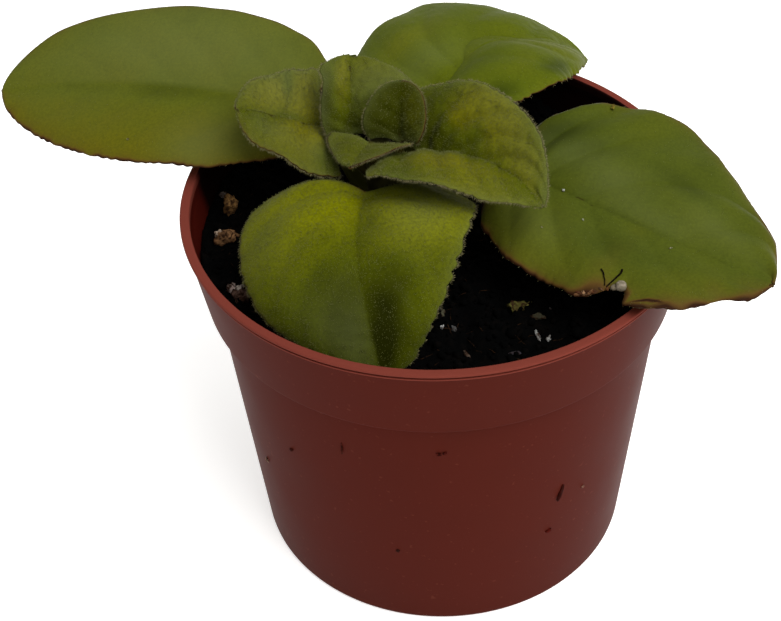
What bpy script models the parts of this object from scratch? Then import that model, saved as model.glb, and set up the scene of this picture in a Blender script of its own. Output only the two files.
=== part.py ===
"""Potted primulina: a flat rosette of nine hairy leaves on a short stem, in a nursery pot.

The origin is the centre of the pot's underside, +Z is up, and the plant is looked at along +Y.
Lengths that carry a unit name are in metres; the leaf table is in millimetres and degrees,
and MM turns it into metres.
"""
import math
from dataclasses import dataclass

import bmesh
import bpy
import numpy as np

MM = 0.001
# Pieces that touch on the real plant keep this gap
GAP = 0.0003

# Pot, a thin moulded cup with a collar below its rim
POT_HEIGHT = 0.073
POT_WALL = 0.0014
RIM_RADIUS = 0.0450
RIM_LIP_HEIGHT = 0.0024
COLLAR_FOOT_Z = 0.0575
COLLAR_FOOT_RADIUS = 0.0420
BODY_TOP_Z = 0.0567
BODY_TOP_RADIUS = 0.0402
BASE_RADIUS = 0.0348
BASE_FILLET = 0.0025
FOOT_INNER_RADIUS = 0.0285
PAD_RADIUS = 0.0085
RECESS_HEIGHT = 0.0020
DRAIN_HOLES = 6
DRAIN_HOLE_RADIUS = 0.0030
DRAIN_RING_RADIUS = 0.0190
POT_SEGMENTS = 44

# Soil, a crumbly plug of peat whose top lies below the rim
SOIL_TOP_Z = 0.0650
SOIL_CRUMB = 0.0009
SOIL_RINGS = 11
SOIL_SEGMENTS = 40
# Bark and grit on the soil: x, y, half length, half height, turn in degrees
SOIL_BITS_MM = (
    (-37.2, 6.6, 1.9, 1.2, 80),
    (-37.2, -0.9, 2.1, 1.2, 10),
    (-35.0, -15.4, 1.5, 1.0, 120),
    (-33.6, -18.4, 1.5, 1.0, 150),
    (13.4, -22.0, 2.0, 0.9, 15),
    (16.3, -24.4, 1.5, 0.8, 5),
    (19.2, -22.0, 1.2, 0.8, 130),
    (16.6, -28.8, 1.3, 0.8, 95),
    (24.5, 27.0, 1.8, 1.1, 50),
    (8.0, 32.0, 1.6, 1.0, 95),
)

# Short stem that stands in a plain hole in the soil
STEM_X = -0.0095
STEM_Y = 0.0025
STEM_FOOT_Z = 0.0565
STEM_TOP_Z = 0.0850
STEM_FOOT_RADIUS = 0.0036
STEM_TOP_RADIUS = 0.0021
STEM_SEGMENTS = 14

# Blades
BLADE_THICKNESS_MM = 1.0
TOOTH_DEPTH_MM = 0.45
LOBE_SWING_DEG = 150.0
PETIOLE_SIDES = 6
COLUMNS = np.array([0.0, 0.38, 0.74, 1.0])

LEAF_GREEN = (0.125, 0.150, 0.028, 1.0)


@dataclass
class Leaf:
    """One leaf; lengths in millimetres and angles in degrees.

    base is the point where the midrib enters the blade, heading its direction in plan there,
    turn how far that direction swings by the tip. rise holds the midrib's slope at base and
    tip, and bend how late the slope changes. roll tips the blade about its midrib, at base and
    tip, left side up. width holds the half widths left and right. fullness, shoulder and
    point shape the outline: how wide it starts, how soon it widens, how pointed it ends.
    lobe is how far the left and the right basal lobe reach behind the midrib's base. fold is
    each half's slope away from the midrib, and droop how far it bends down by its edge.
    """
    name: str
    base: tuple
    heading: float
    turn: float
    rise: tuple
    bend: float
    length: float
    roll: tuple
    width: tuple
    fullness: float
    shoulder: float
    point: float
    lobe: tuple
    fold: tuple
    droop: tuple
    teeth: int
    waves: tuple
    petiole_radius: float
    petiole_z: float


LEAVES = (
    Leaf("leaf_left_outer", (-22.3, 14.1, 82.0), 152, 21, (0, -13), 1.0, 62.8, (-14, -19),
         (18.6, 18.2), 0.13, 1.0, 0.51, (0.0, 0.0), (4, 8), (6, 8), 20, (0.25, 3.0, 0.0), 1.5, 70.5),
    Leaf("leaf_right_outer", (14.4, -1.9, 79.6), -34.6, 4.7, (-3, -9), 1.0, 47.3, (15.7, -3),
         (25.0, 17.8), 0.09, 0.81, 0.53, (2.9, 2.9), (6, 4), (19, 13), 20, (0.7, 5.5, 0.6), 1.5, 70.0),
    Leaf("leaf_front", (-11.8, -9.0, 81.9), -104.2, 43.8, (10, -77.5), 1.33, 38.6, (-2.8, 20),
         (19.4, 22.8), 0.24, 0.68, 0.61, (3.9, 4.0), (11, -1.4), (17.7, 38.3), 18,
         (0.3, 4.0, 0.3), 1.4, 72.0),
    Leaf("leaf_back", (-1.8, 13.2, 86.4), 49.2, -24.6, (21, -52), 1.0, 43.5, (-10, 3),
         (23.9, 18.3), 0.20, 0.80, 0.88, (3.0, 3.0), (4, 11), (20, 30), 18, (0.4, 4.5, 0.2), 1.4, 73.0),
    Leaf("leaf_left_inner", (-17.8, 8.2, 82.5), 197.7, -6.9, (26, 22), 1.0, 18.1, (-9.6, -12.8),
         (12.2, 11.7), 0.30, 0.66, 0.39, (-1.4, -1.4), (4.5, 9), (15, 1), 13, (0.3, 3.0, 0.0), 1.2, 76.0),
    Leaf("leaf_right_inner", (-3.4, -2.5, 84.9), -25.4, -27.1, (24.7, -21), 1.0, 27.4,
         (-3.3, 6.4), (12.4, 13.7), 0.30, 0.89, 0.79, (3.0, 3.0), (37, 19), (-5, 11), 14,
         (0.3, 3.5, 0.5), 1.2, 78.2),
    Leaf("leaf_heart_back", (-14.0, 4.1, 84.0), 95.3, -3.3, (61, 26), 1.0, 13.9, (1, 8),
         (5.8, 12.6), 0.24, 0.84, 0.44, (0.2, 0.2), (21, 8), (-1, 13), 10, (0.2, 3.0, 0.0), 0.9, 79.3),
    Leaf("leaf_bud", (-6.3, -0.3, 85.1), 82.0, 4.4, (60, 49), 1.0, 10.3, (-8, 7),
         (6.2, 6.6), 0.20, 0.88, 0.40, (-0.8, -0.8), (11, 39), (-9, -5), 8, (0.15, 2.0, 0.0), 0.8, 80.3),
    Leaf("leaf_heart_front", (-11.2, -1.5, 86.4), -118.3, 1.6, (1.5, -6.4), 1.0, 6.9,
         (-6.4, 10.7), (8.6, 6.3), 0.35, 0.70, 0.47, (-1.5, -1.5), (16, -1), (-15, 17), 7,
         (0.15, 2.0, 0.0), 0.8, 79.3),
)


def clear_scene():
    """Remove every object that the file opened with."""
    for thing in list(bpy.data.objects):
        bpy.data.objects.remove(thing, do_unlink=True)


def plain_material(name, colour, roughness):
    """A Principled material of one colour."""
    material = bpy.data.materials.new(name)
    material.use_nodes = True
    shader = material.node_tree.nodes["Principled BSDF"]
    shader.inputs["Base Color"].default_value = colour
    shader.inputs["Roughness"].default_value = roughness
    shader.inputs["Metallic"].default_value = 0.0
    return material


def add_object(name, vertices, faces, material):
    """A mesh object from points in metres and faces, with its faces turned outward."""
    mesh = bpy.data.meshes.new(name)
    mesh.from_pydata([tuple(point) for point in vertices], [], faces)
    shape = bmesh.new()
    shape.from_mesh(mesh)
    bmesh.ops.recalc_face_normals(shape, faces=shape.faces)
    shape.to_mesh(mesh)
    shape.free()
    mesh.materials.append(material)
    mesh.shade_smooth()
    mesh.set_sharp_from_angle(angle=math.radians(40))
    thing = bpy.data.objects.new(name, mesh)
    bpy.context.scene.collection.objects.link(thing)
    return thing


def turned(name, profile, segments, material):
    """Turn an open profile of (radius, height) points, on the axis at both ends, about Z."""
    mesh = bpy.data.meshes.new(name)
    points = [(radius, 0.0, height) for radius, height in profile]
    mesh.from_pydata(points, [(i, i + 1) for i in range(len(points) - 1)], [])
    mesh.materials.append(material)
    thing = bpy.data.objects.new(name, mesh)
    bpy.context.scene.collection.objects.link(thing)
    screw = thing.modifiers.new("turn", "SCREW")
    screw.steps = segments
    screw.render_steps = segments
    screw.use_merge_vertices = True
    screw.merge_threshold = 0.00001
    screw.use_smooth_shade = True
    return thing


def cut(thing, cutter):
    """Take a cutter out of a thing, and keep the cutter out of the model."""
    cutter.hide_render = True
    cutter.display_type = "WIRE"
    step = thing.modifiers.new("cut", "BOOLEAN")
    step.operation = "DIFFERENCE"
    step.object = cutter


def join(thing, extras):
    """Union a collection of extra solids into a thing, apply it and remove the extras."""
    group = bpy.data.collections.new(thing.name + "_extras")
    bpy.context.scene.collection.children.link(group)
    for extra in extras:
        group.objects.link(extra)
    step = thing.modifiers.new("join", "BOOLEAN")
    step.operation = "UNION"
    step.operand_type = "COLLECTION"
    step.collection = group
    bpy.context.view_layer.update()
    evaluated = thing.evaluated_get(bpy.context.evaluated_depsgraph_get())
    joined = bpy.data.meshes.new_from_object(evaluated)
    thing.modifiers.clear()
    thing.data = joined
    for extra in extras:
        bpy.data.objects.remove(extra, do_unlink=True)
    bpy.data.collections.remove(group)


def cylinder(name, x, y, z_low, z_high, radius, segments):
    """An upright cylinder used as a cutter."""
    shape = bmesh.new()
    bmesh.ops.create_cone(shape, cap_ends=True, segments=segments, radius1=radius,
                          radius2=radius, depth=z_high - z_low)
    mesh = bpy.data.meshes.new(name)
    shape.to_mesh(mesh)
    shape.free()
    thing = bpy.data.objects.new(name, mesh)
    thing.location = (x, y, (z_low + z_high) / 2)
    bpy.context.scene.collection.objects.link(thing)
    return thing


def outer_radius(z):
    """Radius of the pot's outer face at a height, below the rim's lip."""
    if z >= COLLAR_FOOT_Z:
        lip_foot = POT_HEIGHT - RIM_LIP_HEIGHT
        share = (z - COLLAR_FOOT_Z) / (lip_foot - COLLAR_FOOT_Z)
        return COLLAR_FOOT_RADIUS + share * (RIM_RADIUS - 0.0005 - COLLAR_FOOT_RADIUS)
    share = z / BODY_TOP_Z
    return BASE_RADIUS + share * (BODY_TOP_RADIUS - BASE_RADIUS)


def make_pot():
    """Thin cup: lipped rim, tapered collar, step, tapered body, foot ring and centre pad."""
    lip_foot = POT_HEIGHT - RIM_LIP_HEIGHT
    outside = [
        (RIM_RADIUS - POT_WALL - 0.0002, POT_HEIGHT - 0.0002),
        (RIM_RADIUS - POT_WALL + 0.0001, POT_HEIGHT),
        (RIM_RADIUS - 0.0004, POT_HEIGHT),
        (RIM_RADIUS, POT_HEIGHT - 0.0004),
        (RIM_RADIUS, lip_foot + 0.0003),
        (RIM_RADIUS - 0.0005, lip_foot),
        (COLLAR_FOOT_RADIUS, COLLAR_FOOT_Z),
        (BODY_TOP_RADIUS, BODY_TOP_Z),
    ]
    fillet_x = outer_radius(BASE_FILLET) - BASE_FILLET
    for degrees in (0, 30, 60, 90):
        angle = math.radians(degrees)
        outside.append((fillet_x + BASE_FILLET * math.cos(angle),
                        BASE_FILLET * (1 - math.sin(angle))))
    underside = [
        (FOOT_INNER_RADIUS, 0.0),
        (FOOT_INNER_RADIUS - RECESS_HEIGHT, RECESS_HEIGHT),
        (PAD_RADIUS + RECESS_HEIGHT, RECESS_HEIGHT),
        (PAD_RADIUS, 0.0),
        (0.0, 0.0),
    ]
    floor = [
        (0.0, POT_WALL),
        (PAD_RADIUS - 0.0006, POT_WALL),
        (PAD_RADIUS + RECESS_HEIGHT - 0.0006, POT_WALL + RECESS_HEIGHT),
        (FOOT_INNER_RADIUS - RECESS_HEIGHT + 0.0006, POT_WALL + RECESS_HEIGHT),
        (FOOT_INNER_RADIUS + 0.0006, POT_WALL),
        (fillet_x, POT_WALL),
    ]
    inside = [
        (outer_radius(BASE_FILLET) - POT_WALL, BASE_FILLET + 0.0006),
        (BODY_TOP_RADIUS - POT_WALL, BODY_TOP_Z - 0.0010),
        (COLLAR_FOOT_RADIUS - POT_WALL, COLLAR_FOOT_Z - 0.0002),
    ]
    profile = floor + inside + outside + underside
    plastic = plain_material("terracotta_plastic", (0.165, 0.040, 0.026, 1.0), 0.42)
    pot = turned("pot", profile[::-1], POT_SEGMENTS, plastic)
    for index in range(DRAIN_HOLES):
        angle = 2 * math.pi * (index + 0.5) / DRAIN_HOLES
        hole = cylinder("drain_cutter_%d" % index, DRAIN_RING_RADIUS * math.cos(angle),
                        DRAIN_RING_RADIUS * math.sin(angle), 0.0, 0.006, DRAIN_HOLE_RADIUS, 10)
        cut(pot, hole)
    return pot


def make_bit(index, x, y, half_length, half_height, turn, material):
    """One angular bit of bark or grit, half sunk in the soil."""
    shape = bmesh.new()
    bmesh.ops.create_icosphere(shape, subdivisions=1, radius=1.0)
    mesh = bpy.data.meshes.new("bit_%d" % index)
    for vertex in shape.verts:
        length = vertex.co.x * half_length
        width = vertex.co.y * half_length * 0.62
        angle = math.radians(turn)
        vertex.co = (
            (x + length * math.cos(angle) - width * math.sin(angle)) * MM,
            (y + length * math.sin(angle) + width * math.cos(angle)) * MM,
            SOIL_TOP_Z + (0.55 + vertex.co.z * half_height * 1.2) * MM,
        )
    shape.to_mesh(mesh)
    shape.free()
    mesh.materials.append(material)
    thing = bpy.data.objects.new("bit_%d" % index, mesh)
    bpy.context.scene.collection.objects.link(thing)
    return thing


def soil_height(x, y):
    """Crumbly height of the soil: three crossed ripples and a slow swell, in metres."""
    crumbs = np.sin(x * 1450 + 2.1 * np.sin(y * 610)) * np.cos(y * 1320 - 1.7 * np.sin(x * 540))
    ripple = np.sin((x + y) * 2100 + 1.3) * np.sin((x - y) * 1850)
    swell = np.sin(x * 95 + 0.7) + np.cos(y * 110 - 0.4)
    return SOIL_TOP_Z + SOIL_CRUMB * (0.55 * crumbs + 0.35 * ripple + 0.35 * swell)


def make_soil():
    """Plug of soil that fills the pot to below its rim, with a plain hole for the stem."""
    peat = plain_material("peat", (0.010, 0.008, 0.006, 1.0), 0.95)
    floor_z = POT_WALL + RECESS_HEIGHT + GAP
    clear = POT_WALL + GAP
    wall_top = SOIL_TOP_Z + 0.0006
    step_z = BODY_TOP_Z - 0.0012
    rings = [
        (outer_radius(floor_z) - clear, floor_z),
        (BODY_TOP_RADIUS - clear, step_z),
        (COLLAR_FOOT_RADIUS - clear, COLLAR_FOOT_Z + GAP),
        (outer_radius(wall_top) - clear, None),
    ]
    turns = 2 * np.pi * np.arange(SOIL_SEGMENTS) / SOIL_SEGMENTS
    # The wall's flat sides run inside the circle, so the plug is drawn in by that much
    chord = math.cos(math.pi / POT_SEGMENTS)
    vertices = [(0.0, 0.0, floor_z)]
    top_radii = np.linspace(rings[-1][0], 0.0, SOIL_RINGS + 1)[1:-1]
    for radius, z in rings + [(radius, None) for radius in top_radii]:
        x = radius * chord * np.cos(turns)
        y = radius * chord * np.sin(turns)
        height = np.full_like(x, z) if z is not None else soil_height(x, y)
        vertices.extend(zip(x, y, height))
    vertices.append((0.0, 0.0, float(soil_height(np.zeros(1), np.zeros(1))[0])))
    ring_count = len(rings) + len(top_radii)
    faces = []
    for step in range(SOIL_SEGMENTS):
        following = (step + 1) % SOIL_SEGMENTS
        faces.append((0, 1 + following, 1 + step))
        for ring in range(ring_count - 1):
            low = 1 + ring * SOIL_SEGMENTS
            high = low + SOIL_SEGMENTS
            faces.append((low + step, low + following, high + following))
            faces.append((low + step, high + following, high + step))
        last = 1 + (ring_count - 1) * SOIL_SEGMENTS
        faces.append((last + step, last + following, len(vertices) - 1))
    soil = add_object("soil", vertices, faces, peat)
    bits = [make_bit(index, *bit, peat) for index, bit in enumerate(SOIL_BITS_MM)]
    join(soil, bits)
    cut(soil, cylinder("stem_hole_cutter", STEM_X, STEM_Y, STEM_FOOT_Z - GAP, 0.080,
                       STEM_FOOT_RADIUS + GAP + 0.0002, STEM_SEGMENTS))
    return soil


def stem_radius(z):
    """Radius of the stem at a height: a slow taper with a rounded top."""
    share = min(max((z - STEM_FOOT_Z) / (STEM_TOP_Z - STEM_FOOT_Z), 0.0), 1.0)
    taper = STEM_FOOT_RADIUS + (STEM_TOP_RADIUS - STEM_FOOT_RADIUS) * share
    return taper * math.sqrt(max(1.0 - max(share - 0.86, 0.0) ** 2 / 0.14 ** 2, 0.0))


def make_stem():
    """Short fleshy stem that carries every leaf stalk."""
    flesh = plain_material("stem_flesh", (0.110, 0.095, 0.035, 1.0), 0.6)
    profile = [(0.0, STEM_TOP_Z)]
    for share in (0.985, 0.95, 0.88, 0.7, 0.45, 0.2, 0.0):
        z = STEM_FOOT_Z + share * (STEM_TOP_Z - STEM_FOOT_Z)
        profile.append((stem_radius(z), z))
    profile.append((0.0, STEM_FOOT_Z))
    stem = turned("stem", profile, STEM_SEGMENTS, flesh)
    stem.location = (STEM_X, STEM_Y, 0.0)
    return stem


def spine(leaf, count=161):
    """The midrib as points, with its forward, left and up directions, rolled with the blade."""
    share = np.linspace(0.0, 1.0, count)
    heading = np.radians(leaf.heading + leaf.turn * share)
    slope = np.radians(leaf.rise[0] + (leaf.rise[1] - leaf.rise[0]) * share ** leaf.bend)
    forward = np.stack([np.cos(slope) * np.cos(heading), np.cos(slope) * np.sin(heading),
                        np.sin(slope)], axis=-1)
    steps = (forward[1:] + forward[:-1]) * 0.5 * leaf.length / (count - 1)
    points = np.array(leaf.base) + np.concatenate([np.zeros((1, 3)), np.cumsum(steps, axis=0)])
    level = np.stack([-np.sin(heading), np.cos(heading), np.zeros(count)], axis=-1)
    above = np.cross(forward, level)
    roll = np.radians(leaf.roll[0] + (leaf.roll[1] - leaf.roll[0]) * share)[:, None]
    left = np.cos(roll) * level + np.sin(roll) * above
    up = -np.sin(roll) * level + np.cos(roll) * above
    return share, points, forward, left, up


def along(share, rows, values):
    """Read a spine's three-column values at other shares of its length."""
    return np.stack([np.interp(rows, share, values[:, axis]) for axis in range(3)], axis=-1)


def blade_surface(leaf, steps, across):
    """Middle surface of a blade as a grid of points in millimetres.

    steps runs 0 to 1 from base to tip, packed towards both ends; across runs -1 on the right
    edge to 1 on the left. Each half leaves the midrib at its fold and bends down by its
    droop, so its section is an arc. The rows near the base swing back into two lobes. The
    edge carries rounded teeth and slow waves.
    """
    rows = (1 - np.cos(np.pi * steps)) / 2
    share, points, forward, left, up = spine(leaf)
    centre, ahead, aside, above = (along(share, rows, values)[:, None]
                                   for values in (points, forward, left, up))
    t = rows[:, None]
    side = across[None, :]
    reach = np.abs(side)
    swell = leaf.fullness + (1 - leaf.fullness) * t ** leaf.shoulder
    half = np.where(side >= 0, leaf.width[0], leaf.width[1])
    half = half * np.clip(np.sin(np.pi * swell), 0, 1) ** (0.5 + (leaf.point - 0.5) * t)
    tooth = 0.5 - 0.5 * np.cos(2 * np.pi * leaf.teeth * steps[:, None])
    tooth = tooth * np.sin(np.pi * steps[:, None]) ** 0.5
    half = half + TOOTH_DEPTH_MM * (tooth - 0.5) * reach ** 8
    fold = np.radians(np.where(side >= 0, leaf.fold[0], leaf.fold[1]))
    droop = np.radians(np.where(side >= 0, leaf.droop[0], leaf.droop[1])) + 0.00001
    sideways = half * (np.sin(fold) - np.sin(fold - droop * reach)) / droop
    height = half * (np.cos(fold - droop * reach) - np.cos(fold)) / droop
    size, count, phase = leaf.waves
    wave = np.sin(2 * np.pi * (count * steps[:, None] + phase) + np.pi * (side > 0))
    height = height + size * wave * reach ** 3 * np.sin(np.pi * steps[:, None])
    lobe = np.where(side >= 0, leaf.lobe[0], leaf.lobe[1])
    back = lobe * (1 - t) ** 2 * np.sin(np.radians(LOBE_SWING_DEG) * reach)
    return (centre + aside * (np.sign(side) * sideways)[..., None] + above * height[..., None]
            - ahead * back[..., None])


def grid_normals(grid):
    """Unit normals of a grid, from its row and column directions."""
    down = np.gradient(grid, axis=0)
    over = np.gradient(grid, axis=1)
    normal = np.cross(down, over)
    return normal / np.maximum(np.linalg.norm(normal, axis=-1, keepdims=True), 1e-9)


def make_blade(leaf, material):
    """Closed blade: an upper and a lower skin alike, an edge band, and one point at the tip."""
    count = 2 * leaf.teeth + 1
    steps = np.linspace(0.0, 1.0, count)
    across = np.concatenate([-COLUMNS[:0:-1], COLUMNS])
    middle = blade_surface(leaf, steps, across)
    normal = grid_normals(middle)
    normal[-1] = normal[-2, len(across) // 2]
    half = BLADE_THICKNESS_MM / 2
    columns = len(across)
    rows = count - 1
    body = np.concatenate([(middle + normal * half)[:rows].reshape(-1, 3),
                           (middle - normal * half)[:rows].reshape(-1, 3)])
    tips = middle[-1, 0] + normal[-1, 0] * np.array([[half], [-half]])
    vertices = np.concatenate([body, tips]) * MM
    lower = rows * columns
    top_tip = 2 * lower
    faces = []
    for row in range(rows - 1):
        for column in range(columns - 1):
            a = row * columns + column
            b, c, d = a + 1, a + columns + 1, a + columns
            if column < columns // 2:
                triangles = ((a, b, c), (a, c, d))
            else:
                triangles = ((a, b, d), (b, c, d))
            for triangle in triangles:
                faces.append(triangle)
                faces.append(tuple(lower + corner for corner in reversed(triangle)))
    last = (rows - 1) * columns
    for column in range(columns - 1):
        faces.append((last + column, last + column + 1, top_tip))
        faces.append((lower + last + column + 1, lower + last + column, top_tip + 1))
    rim = [row * columns for row in range(rows - 1, -1, -1)]
    rim += list(range(1, columns))
    rim += [row * columns + columns - 1 for row in range(1, rows)]
    for here, there in zip(rim, rim[1:]):
        faces.append((here, there, lower + there))
        faces.append((here, lower + there, lower + here))
    for corner, order in ((rim[-1], 1), (rim[0], -1)):
        faces.append((corner, top_tip, top_tip + 1)[::order])
        faces.append((corner, top_tip + 1, lower + corner)[::order])
    return add_object(leaf.name, vertices, faces, material)


def stalk_path(leaf):
    """Points and radii of a stalk, from the stem out to the blade and on under the midrib."""
    share, points, forward, left, up = spine(leaf)
    stem = np.array([STEM_X, STEM_Y, 0.0]) / MM
    outward = (points[0] - stem) * (1, 1, 0)
    outward = outward / np.linalg.norm(outward)
    radius = leaf.petiole_radius
    clear = stem_radius((leaf.petiole_z - radius) * MM) / MM + GAP / MM
    start = stem + outward * clear + (0, 0, leaf.petiole_z)
    sink = up[0] * radius * 0.55
    end = points[0] - sink
    reach = np.linalg.norm(end - start)
    out_handle = start + outward * reach * 0.30
    in_handle = end - forward[0] * reach * 0.30
    s = np.linspace(0.0, 1.0, 7)[:, None]
    stalk = ((1 - s) ** 3 * start + 3 * (1 - s) ** 2 * s * out_handle
             + 3 * (1 - s) * s ** 2 * in_handle + s ** 3 * end)
    rows = np.linspace(0.0, 0.86, 7)[1:]
    rib_radius = 0.30 + (radius - 0.30) * (1 - rows / rows[-1]) ** 0.8
    rib = along(share, rows, points) - along(share, rows, up) * (rib_radius * 0.62)[:, None]
    path = np.concatenate([stalk, rib])
    radii = np.concatenate([np.full(len(stalk), radius), rib_radius])
    return path, radii, outward


def make_stalk(leaf, material):
    """Round stalk that tapers into the raised midrib under the blade."""
    path, radii, outward = stalk_path(leaf)
    direction = np.gradient(path, axis=0)
    direction = direction / np.linalg.norm(direction, axis=1, keepdims=True)
    direction[0] = outward
    side = np.cross(direction[0], (0.0, 0.0, 1.0))
    turns = 2 * np.pi * np.arange(PETIOLE_SIDES) / PETIOLE_SIDES
    vertices = []
    for point, heading, radius in zip(path, direction, radii):
        side = side - heading * np.dot(side, heading)
        side = side / np.linalg.norm(side)
        other = np.cross(heading, side)
        ring = np.outer(np.cos(turns), side) + np.outer(np.sin(turns), other)
        vertices.extend((point + radius * ring) * MM)
    faces = [tuple(range(PETIOLE_SIDES))]
    for ring in range(len(path) - 1):
        low = ring * PETIOLE_SIDES
        for corner in range(PETIOLE_SIDES):
            following = (corner + 1) % PETIOLE_SIDES
            faces.append((low + corner, low + following, low + PETIOLE_SIDES + following,
                          low + PETIOLE_SIDES + corner))
    faces.append(tuple(range(len(vertices) - PETIOLE_SIDES, len(vertices))))
    return add_object(leaf.name + "_stalk", vertices, faces, material)


def make_leaf(leaf):
    """One leaf with its stalk, joined into a single solid."""
    green = plain_material(leaf.name + "_green", LEAF_GREEN, 0.5)
    blade = make_blade(leaf, green)
    join(blade, [make_stalk(leaf, green)])
    return blade


clear_scene()
make_pot()
make_soil()
make_stem()
for each_leaf in LEAVES:
    make_leaf(each_leaf)
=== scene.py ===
import math
from dataclasses import dataclass

import bmesh
import bpy
import numpy as np
from mathutils import Matrix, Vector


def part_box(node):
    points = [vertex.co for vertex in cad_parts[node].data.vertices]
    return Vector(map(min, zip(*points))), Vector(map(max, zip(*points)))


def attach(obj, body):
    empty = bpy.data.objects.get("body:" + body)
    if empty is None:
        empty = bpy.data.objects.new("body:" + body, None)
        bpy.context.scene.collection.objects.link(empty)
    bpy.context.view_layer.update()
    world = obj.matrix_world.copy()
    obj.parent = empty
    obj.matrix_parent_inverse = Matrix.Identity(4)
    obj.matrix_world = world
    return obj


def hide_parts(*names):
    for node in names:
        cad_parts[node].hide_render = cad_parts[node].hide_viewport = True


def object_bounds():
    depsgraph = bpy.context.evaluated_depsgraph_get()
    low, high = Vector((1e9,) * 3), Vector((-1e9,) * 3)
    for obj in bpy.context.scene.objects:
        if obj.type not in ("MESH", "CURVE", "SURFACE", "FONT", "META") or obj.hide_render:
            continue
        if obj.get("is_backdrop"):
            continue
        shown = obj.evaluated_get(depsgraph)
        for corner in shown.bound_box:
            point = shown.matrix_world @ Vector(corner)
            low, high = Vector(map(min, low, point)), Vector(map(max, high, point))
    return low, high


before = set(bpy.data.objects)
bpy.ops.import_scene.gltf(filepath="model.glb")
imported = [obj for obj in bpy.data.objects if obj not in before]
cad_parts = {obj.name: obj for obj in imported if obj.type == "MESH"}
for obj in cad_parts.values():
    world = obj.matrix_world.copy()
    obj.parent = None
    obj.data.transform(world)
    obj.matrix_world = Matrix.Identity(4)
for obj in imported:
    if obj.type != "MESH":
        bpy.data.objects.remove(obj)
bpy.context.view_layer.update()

# Lengths below are in millimetres unless a name says otherwise, and MM turns them into metres
MM = 0.001

# Studio: a pale matt light table under the pot, two broad soft lights overhead, and air that is
# bright behind and dim in front. The camera looks down on the pot's front, slightly tilted.
CAMERA_PLACE = (0.0, -251.17, 273.75)
CAMERA_YAW_DEG = 2.0488
CAMERA_PITCH_DEG = 42.1275
CAMERA_ROLL_DEG = -2.6110
CAMERA_LENS = 84.62
SENSOR_WIDTH = 36.0
FLOOR_SIZE = 8000.0
FLOOR_COLOUR = "f4f3f1"
FLOOR_GLOW = 0.62
SKY_COLOUR = "f7f8fa"
SKY_FRONT, SKY_BACK = 0.38, 0.70
# Softboxes: name, place, width, power in watts
SOFTBOXES = (
    ("softbox_top", (420.0, -420.0, 1000.0), 800.0, 13.0),
    ("softbox_right", (1000.0, 300.0, 600.0), 800.0, 2.0),
)
LIGHT_AIM = (0.0, 0.0, 60.0)


def linear(colour):
    """A colour of six hex digits in sRGB, turned into linear light with full opacity."""
    parts = [int(colour[at:at + 2], 16) / 255 for at in (0, 2, 4)]
    return tuple(part / 12.92 if part <= 0.04045 else ((part + 0.055) / 1.055) ** 2.4
                 for part in parts) + (1.0,)


def node(tree, kind, inputs, **settings):
    """Add a shader node with its settings, and give each input a value or another's output."""
    made = tree.nodes.new("ShaderNode" + kind)
    for name, value in settings.items():
        setattr(made, name, value)
    for socket, value in inputs.items():
        if isinstance(value, bpy.types.NodeSocket):
            tree.links.new(value, made.inputs[socket])
        else:
            made.inputs[socket].default_value = value
    return made


def new_material(name):
    """An empty node material with its output, and the material's node tree."""
    material = bpy.data.materials.new(name)
    material.use_nodes = True
    tree = material.node_tree
    tree.nodes.clear()
    return material, tree


def finish_material(tree, shader):
    """Send a shader to the material's output."""
    node(tree, "OutputMaterial", {"Surface": shader.outputs[0]})


def light_table():
    """Opal acrylic lit softly from below: dull and even, so that shadows on it stay faint."""
    material, tree = new_material("light_table")
    finish_material(tree, node(tree, "BsdfPrincipled", {
        "Base Color": linear(FLOOR_COLOUR), "Roughness": 0.9, "Specular IOR Level": 0.1,
        "Emission Color": linear(FLOOR_COLOUR), "Emission Strength": FLOOR_GLOW}))
    return material


def aimed(place, target):
    """A placing matrix whose -Z looks from one point to another, in millimetres."""
    away = np.array(place, float) - np.array(target, float)
    away = away / np.linalg.norm(away)
    side = np.cross((0.0, 0.0, 1.0), away)
    side = side / np.linalg.norm(side)
    rise = np.cross(away, side)
    matrix = np.eye(4)
    matrix[:3, :3] = np.stack([side, rise, away], axis=1)
    matrix[:3, 3] = np.array(place) * MM
    return Matrix(matrix.tolist())


floor_mesh = bpy.data.meshes.new("floor")
half_floor = FLOOR_SIZE / 2 * MM
floor_mesh.from_pydata([(-half_floor, -half_floor, 0), (half_floor, -half_floor, 0),
                        (half_floor, half_floor, 0), (-half_floor, half_floor, 0)],
                       [], [(0, 1, 2, 3)])
floor_mesh.materials.append(light_table())
floor = bpy.data.objects.new("floor", floor_mesh)
bpy.context.scene.collection.objects.link(floor)
floor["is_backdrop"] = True

for light_name, light_place, light_width, light_power in SOFTBOXES:
    light = bpy.data.lights.new(light_name, "AREA")
    light.shape = "SQUARE"
    light.size = light_width * MM
    light.energy = light_power
    lamp = bpy.data.objects.new(light_name, light)
    lamp.matrix_world = aimed(light_place, LIGHT_AIM)
    lamp.visible_camera = False
    bpy.context.scene.collection.objects.link(lamp)

sky = bpy.data.worlds.new("studio_air")
sky.use_nodes = True
air = sky.node_tree
air.nodes["Background"].inputs["Color"].default_value = linear(SKY_COLOUR)
way = node(air, "SeparateXYZ", {0: node(air, "TexCoord", {}).outputs["Generated"]})
backward = node(air, "MapRange", {"Value": way.outputs["Y"], "From Min": -0.6, "From Max": 0.6,
                                  "To Min": SKY_FRONT, "To Max": SKY_BACK})
air.links.new(backward.outputs[0], air.nodes["Background"].inputs["Strength"])
bpy.context.scene.world = sky
bpy.context.scene.view_settings.view_transform = "Standard"

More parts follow.
